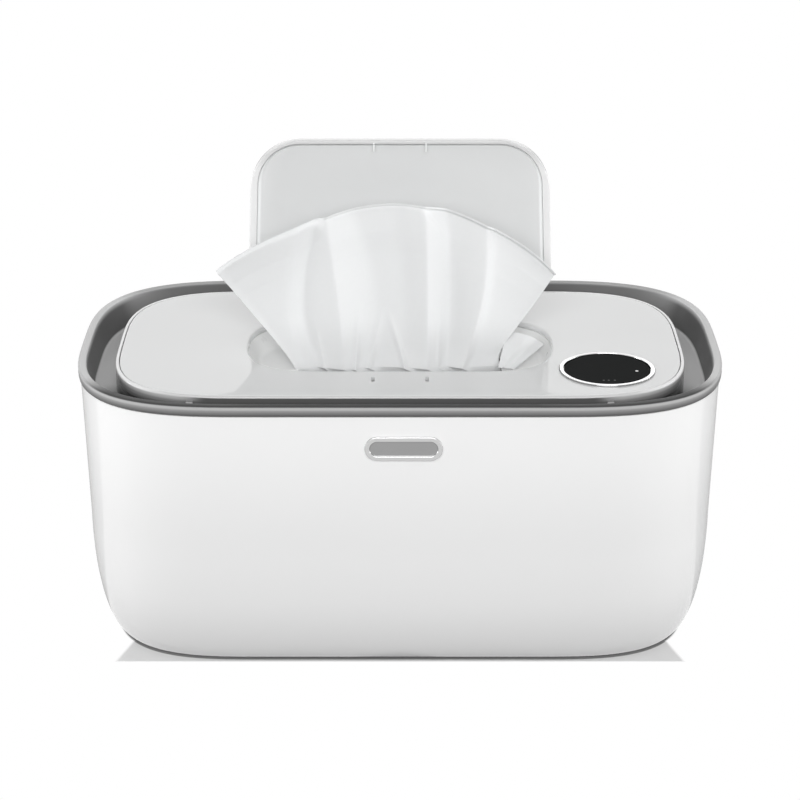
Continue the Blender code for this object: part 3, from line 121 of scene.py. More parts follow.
def meshFrom(name, points, faces, sharp=35):
    mesh = bpy.data.meshes.new(name)
    mesh.from_pydata(np.asarray(points, float).reshape(-1, 3).tolist(), [], faces)
    work = bmesh.new()
    work.from_mesh(mesh)
    bmesh.ops.remove_doubles(work, verts=work.verts, dist=1e-6)
    bmesh.ops.dissolve_degenerate(work, edges=work.edges, dist=1e-7)
    bmesh.ops.recalc_face_normals(work, faces=work.faces)
    work.to_mesh(mesh)
    work.free()
    shade(mesh, sharp)
    return mesh


def shade(mesh, sharp=35):
    mesh.polygons.foreach_set("use_smooth", np.ones(len(mesh.polygons), bool))
    mesh.set_sharp_from_angle(angle=math.radians(sharp))


def place(name, mesh):
    piece = bpy.data.objects.new(name, mesh)
    bpy.context.scene.collection.objects.link(piece)
    return piece


def ringPiece(name, rings, wrap=False, sharp=35):
    # Rings bridged in order; wrap joins the last to the first, else both ends are closed by one face
    rows, columns = rings.shape[:2]
    faces = gridFaces(rows, columns, wrap, True).tolist()
    if not wrap:
        faces.append(list(range(columns)))
        faces.append(list(range((rows - 1) * columns, rows * columns)))
    return place(name, meshFrom(name, rings, faces, sharp))


def turned(name, center, profile, wrap=False, steps=96, along="Z", sharp=35):
    # A profile of (radius, height) carried round a line through center
    a = np.linspace(0, 2 * math.pi, steps, endpoint=False)
    radius, height = np.array(profile, float).T
    u = radius[:, None] * np.cos(a)
    v = radius[:, None] * np.sin(a)
    w = np.broadcast_to(height[:, None], u.shape)
    order = {"Z": (u, v, w), "X": (w, u, v), "Y": (u, w, v)}[along]
    return ringPiece(name, np.stack(order, -1) + np.array(center), wrap, sharp)


def rod(name, center, radius, low, high, steps=32, along="Z"):
    return turned(name, center, [(radius, low), (radius, high)], steps=steps, along=along)


def slab(name, x, width, y, z):
    # An outline in y and z carried across x
    return ringPiece(name, np.array([np.c_[np.full(y.size, at), y, z] for at in (x - width / 2, x + width / 2)]))


def boxPiece(name, x, width, ySpan, zSpan, bevel=0.0):
    # A cube's eight corners set to a width about x and two spans, its edges eased by a bevel
    low = np.array([x - width / 2, ySpan[0], zSpan[0]])
    high = np.array([x + width / 2, ySpan[1], zSpan[1]])
    unit = np.array([[i, j, k] for i in (0, 1) for j in (0, 1) for k in (0, 1)])
    faces = [[0, 1, 3, 2], [4, 6, 7, 5], [0, 4, 5, 1], [2, 3, 7, 6], [0, 2, 6, 4], [1, 5, 7, 3]]
    piece = place(name, meshFrom(name, low + unit * (high - low), faces))
    if bevel:
        change = piece.modifiers.new("ease", "BEVEL")
        change.width, change.segments, change.limit_method = bevel, 3, "ANGLE"
        settle(piece)
    return piece


def settle(piece):
    # Modifiers applied for good, so the mesh itself is final
    bpy.context.view_layer.update()
    graph = bpy.context.evaluated_depsgraph_get()
    mesh = bpy.data.meshes.new_from_object(piece.evaluated_get(graph))
    piece.modifiers.clear()
    piece.data = mesh
    shade(mesh)
    return piece


def carve(piece, tools, operation="DIFFERENCE"):
    for tool in tools:
        change = piece.modifiers.new(tool.name, "BOOLEAN")
        change.operation, change.solver, change.object = operation, "EXACT", tool
    settle(piece)
    for tool in tools:
        bpy.data.objects.remove(tool, do_unlink=True)
    return piece


def together(name, *pieces):
    # Several closed shells kept as one piece
    work = bmesh.new()
    for piece in pieces:
        work.from_mesh(piece.data)
        bpy.data.objects.remove(piece, do_unlink=True)
    mesh = bpy.data.meshes.new(name)
    work.to_mesh(mesh)
    work.free()
    shade(mesh)
    return place(name, mesh)


def pointsOf(piece):
    points = np.empty(len(piece.data.vertices) * 3)
    piece.data.vertices.foreach_get("co", points)
    return points.reshape(-1, 3)


def storeValues(piece, name, values):
    # One number for each vertex, which a finish reads by its name
    piece.data.attributes.new(name, "FLOAT", "POINT").data.foreach_set("value", values)


def finish(piece, material, body, slot, *nodes):
    piece.data.materials.clear()
    piece.data.materials.append(material)
    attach(piece, body)
    if nodes:
        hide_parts(*nodes)
    return piece


# Finishes

def effectGroup(name, inputs, outputs=(("Color", "Color"), ("Roughness", "Float"), ("Height", "Float"))):
    # A node group, the sockets that bring its inputs, and the sockets that take its outputs
    group = bpy.data.node_groups.new(name, "ShaderNodeTree")
    for label, kind, value in inputs:
        socket = group.interface.new_socket(name=label, in_out="INPUT", socket_type="NodeSocket" + kind)
        if value is not None:
            socket.default_value = value
    for label, kind in outputs:
        group.interface.new_socket(name=label, in_out="OUTPUT", socket_type="NodeSocket" + kind)
    return group, group.nodes.new("NodeGroupInput").outputs, group.nodes.new("NodeGroupOutput").inputs


def feed(tree, socket, value):
    # A socket takes a plain value, or a link where the value is another node's socket
    if isinstance(value, bpy.types.NodeSocket):
        tree.links.new(value, socket)
    else:
        socket.default_value = value


def node(tree, kind, inputs=None, **settings):
    made = tree.nodes.new(kind)
    for key, value in settings.items():
        setattr(made, key, value)
    for key, value in (inputs or {}).items():
        feed(tree, made.inputs[key], value)
    return made


def mathNode(tree, operation, a, b=None, clamp=False):
    made = node(tree, "ShaderNodeMath", operation=operation, use_clamp=clamp)
    for socket, value in zip(made.inputs, (a, b)):
        if value is not None:
            feed(tree, socket, value)
    return made.outputs[0]


def joined(tree, operation, parts):
    # One operation carried along a list
    total = parts[0]
    for part in parts[1:]:
        total = mathNode(tree, operation, total, part)
    return total


def fadeOf(tree, value, low, high, start=0.0, end=1.0):
    # Eased from start to end while the value runs from low to high
    ranges = {"Value": value, "From Min": low, "From Max": high, "To Min": start, "To Max": end}
    return node(tree, "ShaderNodeMapRange", ranges, interpolation_type="SMOOTHSTEP").outputs["Result"]


def mixOf(tree, share, first, second):
    return node(tree, "ShaderNodeMixShader", {0: share, 1: first.outputs[0], 2: second.outputs[0]})


def noiseOf(tree, vector, scale, detail=2.0, roughness=0.5):
    return node(tree, "ShaderNodeTexNoise", {"Vector": vector, "Scale": scale, "Detail": detail,
                                             "Roughness": roughness}).outputs[0]


def stretched(tree, vector, by):
    return node(tree, "ShaderNodeVectorMath", {0: vector, 1: by}, operation="MULTIPLY").outputs[0]


def driftOf(tree, source, middle, amount):
    return mathNode(tree, "MULTIPLY", mathNode(tree, "SUBTRACT", source, middle), amount)


def drifting(tree, color, drift):
    # The colour made lighter by a positive drift, darker by a negative one
    value = mathNode(tree, "ADD", drift, 1.0)
    return node(tree, "ShaderNodeHueSaturation", {"Color": color, "Value": value}).outputs[0]


def mouldedSkin():
    # Moulded plastic: a fine grain, a slow drift of tone and of gloss, and gloss rubbed dull by handling
    group, given, out = effectGroup("mouldedSkin", [
        ("Vector", "Vector", None), ("Color", "Color", (0.8, 0.8, 0.8, 1)), ("Tone Drift", "Float", 0.02),
        ("Roughness", "Float", 0.3), ("Gloss Drift", "Float", 0.04), ("Grain Scale", "Float", 1800.0),
        ("Handling", "Float", 0.0)])
    slow = noiseOf(group, given["Vector"], 14.0, 3.0)
    grain = noiseOf(group, given["Vector"], given["Grain Scale"], 2.0, 0.6)
    smear = noiseOf(group, given["Vector"], 60.0, 4.0, 0.65)
    gloss = mathNode(group, "ADD", given["Roughness"], driftOf(group, smear, 0.5, given["Gloss Drift"]))
    rub = mathNode(group, "MULTIPLY", mathNode(group, "SUBTRACT", smear, 0.56, True), given["Handling"])
    feed(group, out["Color"], drifting(group, given["Color"], driftOf(group, slow, 0.5, given["Tone Drift"])))
    feed(group, out["Roughness"], mathNode(group, "ADD", gloss, rub, True))
    feed(group, out["Height"], grain)
    return group


def drawnMetal():
    # Metal with fine drawn lines along one direction: noise stretched by the Line Stretch vector
    group, given, out = effectGroup("drawnMetal", [
        ("Vector", "Vector", None), ("Color", "Color", (0.6, 0.6, 0.6, 1)), ("Line Stretch", "Vector", (1, 1, 1)),
        ("Roughness", "Float", 0.3), ("Gloss Drift", "Float", 0.1), ("Tone Drift", "Float", 0.08)])
    lines = noiseOf(group, stretched(group, given["Vector"], given["Line Stretch"]), 1.0, 4.0, 0.6)
    slow = noiseOf(group, given["Vector"], 40.0, 2.0)
    gloss = driftOf(group, lines, 0.5, given["Gloss Drift"])
    feed(group, out["Color"], drifting(group, given["Color"], driftOf(group, slow, 0.5, given["Tone Drift"])))
    feed(group, out["Roughness"], mathNode(group, "ADD", given["Roughness"], gloss, True))
    feed(group, out["Height"], lines)
    return group


def fibreWeb():
    # Nonwoven cloth: two crossing layers of short fibres and soft bonding dimples
    group, given, out = effectGroup("fibreWeb", [
        ("Vector", "Vector", None), ("Color", "Color", (0.85, 0.85, 0.85, 1)), ("Fibre Scale", "Float", 900.0),
        ("Dimple Scale", "Float", 260.0), ("Tone Drift", "Float", 0.05)])
    layers = [noiseOf(group, stretched(group, given["Vector"], by), given["Fibre Scale"], 5.0, 0.7)
              for by in ((1.0, 0.35, 0.35), (0.35, 1.0, 1.0))]
    fibres = mathNode(group, "MAXIMUM", *layers)
    dimple = node(group, "ShaderNodeTexVoronoi", {"Vector": given["Vector"], "Scale": given["Dimple Scale"]})
    dent = mathNode(group, "MULTIPLY", dimple.outputs["Distance"], 0.5)
    dull = mathNode(group, "ADD", mathNode(group, "MULTIPLY", fibres, 0.1), 0.85, True)
    feed(group, out["Color"], drifting(group, given["Color"], driftOf(group, fibres, 0.55, given["Tone Drift"])))
    feed(group, out["Roughness"], dull)
    feed(group, out["Height"], mathNode(group, "ADD", fibres, dent))
    return group


def toneGroup(name, base, zones, tintHue=(1, 1, 1)):
    # A grey level, then one level over another, each faded in where its sources run from low to high.
    # Sources are the object's own x without its sign, y, z, and mark: the attribute stored on the piece
    group, given, out = effectGroup(name, [("Vector", "Vector", None), ("Mark", "Float", 0.0)], [("Color", "Color")])
    x, y, z = node(group, "ShaderNodeSeparateXYZ", {0: given["Vector"]}).outputs
    sources = {"x": mathNode(group, "ABSOLUTE", x), "y": y, "z": z, "mark": given["Mark"]}
    level = base
    for tint, *bands in zones:
        mask = joined(group, "MULTIPLY", [fadeOf(group, sources[source], low, high) for source, low, high in bands])
        change = mathNode(group, "MULTIPLY", mathNode(group, "SUBTRACT", tint, level), mask)
        level = mathNode(group, "ADD", level, change)
    shares = {i: mathNode(group, "MULTIPLY", level, share) for i, share in enumerate(tintHue)}
    feed(group, out["Color"], node(group, "ShaderNodeCombineColor", shares).outputs[0])
    return group


effects = {"plastic": mouldedSkin(), "metal": drawnMetal(), "cloth": fibreWeb()}
tones = {
    # case: painted shade, whiter towards its top and darker downwards, and a painted highlight that makes its lowest
    # edge whiter again
    "case": toneGroup("casePaintedShade", 0.90, [(0.82, ("z", 0.100, 0.045)), (0.77, ("z", 0.030, 0.010)),
                                        (0.90, ("z", 0.0026, 0.0008))]),
    # satin grey trim with painted light: its outer face painted lighter to its top with a painted highlight line, its
    # land painted darkest in front as a painted reflection of the lid's dark skirt, painted shade on the dark inner
    # wall, the gutter floor painted mid grey where it faces up, and painted shadow near black in the gutter at the
    # front under the lid's skirt
    "trim": toneGroup("trimPaintedLight", 0.14, [
        (0.20, ("z", 0.1062, 0.1072)), (0.28, ("z", 0.1070, 0.1080)), (0.48, ("z", 0.1079, 0.1086)),
        (0.30, ("z", 0.1083, 0.1092), ("y", 0.045, 0.068)),
        (0.66, ("mark", 0.0003, 0.0009), ("y", 0.068, 0.045)), (0.42, ("mark", 0.0008, 0.0016), ("y", 0.045, 0.068)),
        (0.07, ("z", 0.1092, 0.1097), ("y", -0.040, -0.060)),
        (0.13, ("mark", 0.0028, 0.0036), ("y", 0.066, 0.045)), (0.15, ("mark", 0.0029, 0.0033), ("y", 0.045, 0.066)),
        (0.52, ("z", 0.0996, 0.0989)),
        (0.03, ("z", 0.0996, 0.0989), ("mark", 0.0080, 0.0115), ("y", -0.018, -0.038))]),
    # lid skirt with painted shade: its front painted greyer, its wall painted darker downwards at the front and
    # darkest between the tabs, the tabs kept lighter
    "lid": toneGroup("lidPaintedShade", 0.80, [
        (0.60, ("y", -0.050, -0.0585)), (0.46, ("y", -0.010, -0.035), ("z", 0.1088, 0.1080)),
        (0.24, ("y", -0.010, -0.035), ("z", 0.1080, 0.1066)), (0.14, ("y", -0.010, -0.035), ("z", 0.1066, 0.1052)),
        (0.03, ("y", -0.010, -0.035), ("z", 0.1052, 0.1042)),
        (0.10, ("y", -0.040, -0.056), ("z", 0.1089, 0.1083), ("x", 0.084, 0.072)),
        (0.06, ("y", -0.040, -0.056), ("z", 0.1070, 0.1050), ("x", 0.084, 0.072)),
        (0.60, ("y", -0.0613, -0.0618), ("z", 0.1050, 0.1062))]),
    # display ring: painted reflection, a bright flange between duller edges and a dark outer edge, and painted shade
    # that makes it duller at its back; badge: a grey field in a light border
    "bezel": toneGroup("bezelPaintedReflection", 0.92, [(0.70, ("mark", 0.0170, 0.0173)), (0.90, ("mark", 0.0175, 0.0178)),
                                          (0.40, ("mark", 0.01805, 0.0183)), (0.60, ("y", -0.028, -0.018))]),
    "badge": toneGroup("badgeTone", 0.60, [(0.34, ("mark", 0.0016, 0.0019))]),
    # cloth: painted light and shade, lighter where it faces right, darker where it faces left, and greyer low down as
    # painted shade; flap: top rim painted duller as painted shade
    "cloth": toneGroup("clothPaintedLight", 0.74, [(0.88, ("mark", 0.10, 0.90)), (0.68, ("z", 0.1200, 0.1010))],
                       (0.985, 0.995, 1.0)),
    "inner": toneGroup("innerTone", 0.70, [(0.92, ("mark", 0.02, 0.30))], (0.99, 1.0, 1.0)),
    "flap": toneGroup("flapPaintedShade", 0.82, [(0.66, ("z", 0.170, 0.179), ("y", 0.0312, 0.0290))]),
}


def finishOf(name, effect, color, roughness, bump=0.0, bumpDistance=0.0001, shader=None, tone=None, mark="inset",
             **settings):
    # One material: an effect group feeds colour, roughness and bump, plain numbers stay on the shader
    material = bpy.data.materials.new(name)
    material.use_nodes = True
    tree = material.node_tree
    surface = tree.nodes["Principled BSDF"].inputs
    for key, value in (shader or {}).items():
        surface[key].default_value = value
    where = tree.nodes.new("ShaderNodeTexCoord").outputs["Object"]
    given = {"Vector": where, "Color": (*color, 1), **settings}
    if tone:
        stored = node(tree, "ShaderNodeAttribute", attribute_name=mark).outputs["Fac"]
        zoned = node(tree, "ShaderNodeGroup", node_tree=tones[tone], inputs={"Vector": where, "Mark": stored})
        given["Color"] = zoned.outputs["Color"]
    if roughness is not None:
        given["Roughness"] = roughness
    made = node(tree, "ShaderNodeGroup", node_tree=effects[effect], inputs=given).outputs
    feed(tree, surface["Base Color"], made["Color"])
    feed(tree, surface["Roughness"], made["Roughness"])
    if bump:
        lift = node(tree, "ShaderNodeBump", {"Strength": bump, "Distance": bumpDistance, "Height": made["Height"]})
        feed(tree, surface["Normal"], lift.outputs[0])
    material.diffuse_color = (*color, 1)
    return material


metal = {"Metallic": 1.0}

finishes = {
    "case": finishOf("caseGloss", "plastic", (0.84, 0.84, 0.84), 0.10, 0.04, tone="case"),
    "lid": finishOf("lidSkirtGloss", "plastic", (0.80, 0.80, 0.80), 0.16, 0.05, tone="lid"),
    "flap": finishOf("flapGloss", "plastic", (0.82, 0.82, 0.82), 0.18, 0.05, tone="flap"),
    "panel": finishOf("panelMirrorGloss", "plastic", (0.705, 0.71, 0.71), 0.05, 0.02),
    "tray": finishOf("trayPlastic", "plastic", (0.82, 0.825, 0.82), 0.28, 0.08),
    "inner": finishOf("innerPlastic", "plastic", (0.61, 0.62, 0.62), 0.35, 0.10, tone="inner",
                      mark="cove"),
    "trim": finishOf("trimSatinGrey", "plastic", (0.30, 0.30, 0.30), 0.30, 0.10, 0.00005,
                     shader={"Specular IOR Level": 0.04}, tone="trim", **{"Grain Scale": 3200.0}),
    "bezel": finishOf("bezelChrome", "metal", (0.80, 0.80, 0.81), 0.12, shader=metal, tone="bezel",
                      mark="radius", **{"Line Stretch": (900.0, 900.0, 900.0), "Gloss Drift": 0.06}),
    "badge": finishOf("badgePlate", "metal", (0.55, 0.55, 0.56), 0.22, shader=metal, tone="badge",
                      mark="border", **{"Line Stretch": (60.0, 900.0, 900.0), "Gloss Drift": 0.06}),
    "steel": finishOf("screwSteel", "metal", (0.55, 0.55, 0.56), 0.35, 0.1, shader=metal,
                      **{"Line Stretch": (900.0, 900.0, 900.0)}),
    "spreader": finishOf("spreaderAluminium", "metal", (0.66, 0.66, 0.67), 0.4, 0.15, shader=metal,
                         **{"Line Stretch": (40.0, 1400.0, 900.0)}),
    "rubber": finishOf("footRubber", "plastic", (0.045, 0.045, 0.046), 0.8, 0.3, **{"Grain Scale": 900.0}),
    "seal": finishOf("sealSilicone", "plastic", (0.52, 0.53, 0.53), 0.55, 0.1, **{"Handling": 0.3}),
    "film": finishOf("heatingFilm", "plastic", (0.42, 0.20, 0.045), 0.35, 0.05, **{"Tone Drift": 0.15}),
    "foam": finishOf("padFoam", "plastic", (0.30, 0.30, 0.31), 0.95, 0.8, 0.0004, **{"Grain Scale": 700.0}),
    "board": finishOf("boardGreen", "plastic", (0.03, 0.17, 0.08), 0.4, 0.1, **{"Tone Drift": 0.2}),
    "chip": finishOf("chipBlack", "plastic", (0.022, 0.022, 0.023), 0.5, 0.2),
    "lead": finishOf("leadCover", "plastic", (0.05, 0.05, 0.055), 0.55, 0.1),
    "cloth": finishOf("wipeCloth", "cloth", (0.82, 0.825, 0.83), None, 0.25, 0.00008,
                      shader={"Sheen Weight": 0.10, "Sheen Roughness": 0.6}, tone="cloth", mark="fold"),
}
print("finishes ready:", len(finishes))


# The case and what stands under it

caseDetail = {"topInset": 0.0008, "taper": 0.0312, "curveWidth": 0.0112, "curveHeight": 0.0476, "bottomZ": 0.0003,
              "wall": 0.0024, "lipWidth": 0.0030, "lipHeight": 0.0039, "flangeWidth": 0.0060, "curveSteps": 40}


def makeCase(d):
    # Profile: a straight taper, then a quarter ellipse to the bottom edge; the inner wall is the same
    # line moved inwards along its normal by the wall
    straightZ = d["bottomZ"] + d["curveHeight"]
    straightInset = d["topInset"] + d["taper"] * (levels["caseTop"] - straightZ)
    a = np.linspace(0, math.pi / 2, d["curveSteps"] + 1)
    curve = np.c_[straightInset + d["curveWidth"] * (1 - np.cos(a)), straightZ - d["curveHeight"] * np.sin(a)]
    z = np.linspace(levels["caseTop"], straightZ, 8)[:-1]
    wallLine = np.c_[d["topInset"] + d["taper"] * (levels["caseTop"] - z), z]
    outer = np.concatenate([wallLine, curve])
    slope = np.gradient(outer, axis=0)
    normal = np.c_[-slope[:, 1], slope[:, 0]] / np.linalg.norm(slope, axis=1)[:, None]
    inner = outer + normal * d["wall"]
    inner[0, 1] = levels["caseTop"]
    lip = outer[-1, 0] + d["lipWidth"]
    flangeZ = d["bottomZ"] + d["lipHeight"]
    foot = np.array([(lip, d["bottomZ"]), (lip, flangeZ), (lip + d["flangeWidth"], flangeZ),
                     (lip + d["flangeWidth"], flangeZ + d["wall"])])
    inner = inner[inner[:, 1] > flangeZ + d["wall"] * 1.5][::-1]
    corner = np.array([(inner[0, 0] + d["wall"] / 2, flangeZ + d["wall"])])
    profile = np.concatenate([outer, foot, corner, inner])
    return ringPiece("case_shell", ringsFrom(rimShape, profile), wrap=True, sharp=40)


socketDetail = {"x": -0.070, "z": 0.024, "hole": 0.0049, "holeSpan": (-0.0075, 0.004)}

case = makeCase(caseDetail)
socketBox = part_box("power_socket")
holeY = socketBox[1][1]
hole = rod("hole", (socketDetail["x"], holeY, socketDetail["z"]), socketDetail["hole"], *socketDetail["holeSpan"],
           steps=96, along="Y")
finish(carve(case, [hole]), finishes["case"], "root", "case", "outer_case")


def makeSocket(d, backY):
    # A turned inlet: eased flange, blind bore with its floor and the contact pin
    profile = softProfile([(d["bodyRadius"], -d["bodyLength"]), (d["bodyRadius"], -d["flange"]),
                           (d["flangeRadius"], -d["flange"]), (d["flangeRadius"], 0), (d["bore"], 0),
                           (d["bore"], -d["boreDepth"]), (d["pin"], -d["boreDepth"]), (d["pin"], -d["pinBack"])],
                          [0, 0, 0, 0.0004, 0.0004, 0, 0, 0])
    return turned("inlet_socket", (socketDetail["x"], backY, socketDetail["z"]), profile, along="Y", steps=64)


inletDetail = {"bodyRadius": 0.0046, "bodyLength": 0.0125, "flange": 0.0010, "flangeRadius": 0.0062, "bore": 0.0029,
               "boreDepth": 0.0085, "pin": 0.0009, "pinBack": 0.0012}
finish(makeSocket(inletDetail, holeY), finishes["chip"], "root", "black", "power_socket")
print("case made")

# The grey trim ring

trimDetail = {"land": 0.0030, "wallRun": 0.0028, "back": (0.0035, 0.0043), "edge": 0.0009, "belly": 0.00035,
              "tuck": 0.0006, "landRound": 0.0006, "footRound": 0.0012, "gutterInset": 0.0062, "earWidth": 0.0032,
              "earRound": 0.0024, "earSink": 0.0009, "knuckleX": 0.050, "knuckleWidth": 0.010, "gap": 0.0004,
              "bore": 0.0016}


def makeTrim(d):
    # Band with a slight belly, flat land, sloping inner wall and the gutter floor under the lid
    top, bottom = levels["rimTop"], levels["rimBottom"]
    floor, under = levels["gutterTop"], levels["gutterBottom"]
    z = np.linspace(0, 1, 9)[1:-1]
    belly = np.c_[d["belly"] * (1 - np.sin(math.pi * z) ** 0.7), bottom + (top - d["edge"] * 1.4 - bottom) * z]
    wallFoot = (d["land"] + d["wallRun"], floor)
    outer = np.concatenate([
        [(d["tuck"], bottom)], belly,
        roundOver((0, bottom), (0, top), (d["land"], top), d["edge"], 8),
        roundOver((0, top), (d["land"], top), wallFoot, d["landRound"], 5),
        roundOver((d["land"], top), wallFoot, (0.02, floor), d["footRound"], 6),
    ])
    rings = [ringsFrom(rimShape, outer),
             ringsFrom(lidShape, [(d["gutterInset"], floor), (d["gutterInset"], under)]),
             ringsFrom(rimShape, [(d["back"][1], under), (d["back"][0], bottom)])]
    return ringPiece("trim_ring", np.concatenate(rings), wrap=True, sharp=40)


def earShell(name, x, width, axis, radius, footZ):
    # A plate across x: straight sides up from its foot, a half circle round the axis on top
    a = np.linspace(0, math.pi, 25)
    y = axis[0] + np.concatenate([[-radius, radius], radius * np.cos(a)])
    return slab(name, x, width, y, np.concatenate([[footZ, footZ], axis[1] + radius * np.sin(a)]))


def lidEars(d):
    # An ear on either side of each knuckle
    offset = d["knuckleWidth"] / 2 + d["gap"] + d["earWidth"] / 2
    places = [s * d["knuckleX"] + t * offset for s in (-1, 1) for t in (-1, 1)]
    return [earShell(f"ear{i}", x, d["earWidth"], lidAxis, d["earRound"], levels["gutterTop"] - d["earSink"])
            for i, x in enumerate(places)]


def boreTools(name, d, axis):
    reach = d["knuckleWidth"] / 2 + d["gap"] + d["earWidth"] + 0.001
    return [rod(f"{name}{s}", (s * d["knuckleX"], *axis), d["bore"], -reach, reach, along="X") for s in (-1, 1)]


def storeInset(piece, shape):
    # Each vertex's distance in from the outline, read off the superellipse that passes through it
    x, y = np.abs(pointsOf(piece)[:, :2]).T
    across = np.clip(x - (shape["halfX"] - shape["corner"]), 0, None)
    along = np.clip(y - (shape["halfY"] - shape["corner"]), 0, None)
    reach = (across ** shape["power"] + along ** shape["power"]) ** (1 / shape["power"])
    storeValues(piece, "inset", shape["corner"] - reach)


trim = carve(makeTrim(trimDetail), lidEars(trimDetail), "UNION")
trim = carve(trim, boreTools("bore", trimDetail, lidAxis))
storeInset(trim, rimShape)
finish(trim, finishes["trim"], "root", "rim", "rim_frame")
print("trim made")

# Tub, wipes in it

tubDetail = {"mouth": 0.0079, "flange": 0.0095, "flangeThickness": 0.0020, "draft": 0.0040, "wall": 0.0020,
             "foot": 0.0040, "floorReach": 0.03, "bossRadius": 0.0040, "bossX": 0.086, "bossY": 0.022,
             "bossZ": 0.0042}


def makeTub(d):
    # Mouth flange, drafted wall, generous foot radius and a flat floor; the underside is the same, one wall out
    top, floor = levels["tubTop"], levels["tubFloor"]
    mouth, foot = d["mouth"], d["mouth"] + d["draft"]
    back = mouth - d["flange"]
    inside = softProfile([(back, top), (mouth, top), (foot, floor), (foot + d["floorReach"], floor)],
                         [0, 0.0012, d["foot"] * 1.6, 0])
    outside = softProfile([(back, top - d["flangeThickness"]), (mouth - d["wall"], top - d["flangeThickness"]),
                           (foot - d["wall"], floor - d["wall"]), (foot + d["floorReach"], floor - d["wall"])],
                          [0, 0.0008, d["foot"] * 2.0, 0])
    return ringPiece("tub", ringsFrom(lidShape, np.concatenate([inside[::-1], outside])), sharp=40)


def tubBosses(d):
    # Four posts under the floor that take the base plate's screws
    places = [(-1, -1), (-1, 1), (1, -1), (1, 1)]
    return [rod(f"boss{i}", (sx * d["bossX"], sy * d["bossY"], 0), d["bossRadius"], d["bossZ"],
                levels["tubFloor"] - d["wall"] / 2) for i, (sx, sy) in enumerate(places)]


tub = together("tub_shell", makeTub(tubDetail), *tubBosses(tubDetail))
finish(tub, finishes["inner"], "root", "inner", "inner_tub")

stackDetail = {"halfX": 0.0905, "halfY": 0.0436, "corner": 0.0100, "low": 0.0203, "crown": 0.0013, "layers": 34,
               "crease": 0.0011, "bulge": 0.0008, "wander": 0.0006}


def makeStack(d):
    # Folded wipes: each layer is a bulge of the side line, z + thickness*sin, and its edge wanders a little
    steps = d["layers"] * 6 + 1
    v = np.linspace(0, 1, steps)
    high = levels["stackTop"] - d["crown"]
    corner = {"halfX": d["halfX"], "halfY": d["halfY"], "corner": d["corner"], "power": 2.0}
    line = cornerLine(corner, 0)
    layer = np.minimum((v * d["layers"]).astype(int), d["layers"] - 1)
    phase = np.random.default_rng(4).uniform(-1, 1, (d["layers"], 3))
    ripple = np.abs(np.sin(math.pi * v * d["layers"])) ** 0.5
    turn = np.arctan2(line[:, 1], line[:, 0])
    drift = phase[layer, 0][:, None] + phase[layer, 1][:, None] * np.cos(turn * 2 + 3 * phase[layer, 2][:, None])
    inset = d["crease"] - d["bulge"] * ripple[:, None] + d["wander"] * 0.5 * (1 + np.tanh(drift))
    size = np.array([d["halfX"], d["halfY"]])
    rings = line[None] * (1 - inset[..., None] / size)
    z = np.broadcast_to((d["low"] + (high - d["low"]) * v)[:, None], inset.shape)
    body = np.concatenate([rings, z[..., None]], 2)
    shares = np.array([0.96, 0.85, 0.6, 0.3])
    caps = np.stack([np.c_[line * s, np.full(len(line), high + d["crown"] * (1 - s * s) ** 0.5)] for s in shares])
    return ringPiece("wipe_pack", np.concatenate([body, caps]), sharp=60)


pack = finish(makeStack(stackDetail), finishes["cloth"], "root", "cloth", "wipe_stack")
print("tub and pack made")

# Lid

lidDetail = {"wall": 0.0013, "ledge": 0.0052, "edge": 0.0009, "tabX": 0.0787, "tabWidth": 0.0028,
             "tabY": (-0.0646, -0.0585), "tabThickness": 0.0016, "tabDrop": 0.0020, "tabEdge": 0.0004,
             "knuckleRound": 0.0024, "knuckleRoot": 0.0006, "bossRadius": 0.0032,
             "bosses": [(-0.045, -0.0525), (0.045, -0.0525), (-0.070, 0.0522), (0.070, 0.0522)]}


def makeLidSkirt(d):
    # A thin wall with an eased top edge and the ledge that carries the top panel
    top, bottom, wall, ledge = levels["lidTop"], levels["lidBottom"], d["wall"], d["wall"] + d["ledge"]
    profile = softProfile([(0, bottom), (0, top), (wall, top), (wall, levels["ledgeTop"]),
                           (ledge, levels["ledgeTop"]), (ledge, levels["ledgeBottom"]),
                           (wall, levels["ledgeBottom"]), (wall, bottom)],
                          [0.0003, d["edge"], 0.0002, 0, 0, 0, 0, 0.0003], wrap=True)
    return ringPiece("lid_skirt", ringsFrom(lidShape, profile), wrap=True, sharp=45)


def lidTab(d, side):
    high = levels["lidTop"] - d["tabDrop"]
    return boxPiece(f"tab{side}", side * d["tabX"], d["tabWidth"], d["tabY"], (high - d["tabThickness"], high),
                    d["tabEdge"])


def lidKnuckle(d, side):
    # Flat back from the skirt's wall, then a half circle round the hinge axis
    r, rootY = d["knuckleRound"], lidShape["halfY"] - d["knuckleRoot"]
    a = np.linspace(-math.pi / 2, math.pi / 2, 25)
    y = np.concatenate([[rootY, rootY], lidAxis[0] + r * np.cos(a)])
    z = lidAxis[1] + np.concatenate([[r, -r], r * np.sin(a)])
    return slab(f"knuckle{side}", side * trimDetail["knuckleX"], trimDetail["knuckleWidth"], y, z)


fittings = [make(lidDetail, s) for s in (-1, 1) for make in (lidTab, lidKnuckle)]
skirt = carve(makeLidSkirt(lidDetail), fittings, "UNION")
skirt = carve(skirt, boreTools("bore", trimDetail, lidAxis))
posts = [rod(f"post{i}", (x, y, 0), lidDetail["bossRadius"], levels["linerTop"] + clearance, levels["ledgeTop"])
         for i, (x, y) in enumerate(lidDetail["bosses"])]
finish(together("lid_skirt", skirt, *posts), finishes["lid"], "lid", "case", "lid_frame")

panelDetail = {"inset": 0.0016, "edge": 0.0005, "mouthRound": 0.0010, "displayHole": 0.0179, "cutZ": (0.1, 0.115),
               "slitX": 0.0103, "slitY": -0.0422, "slitLength": 0.0050, "slitWidth": 0.0013, "earX": 0.0316,
               "earWidth": 0.0050, "earRadius": 0.0023, "earSink": 0.0009, "earBore": 0.0011, "boreReach": 0.004}


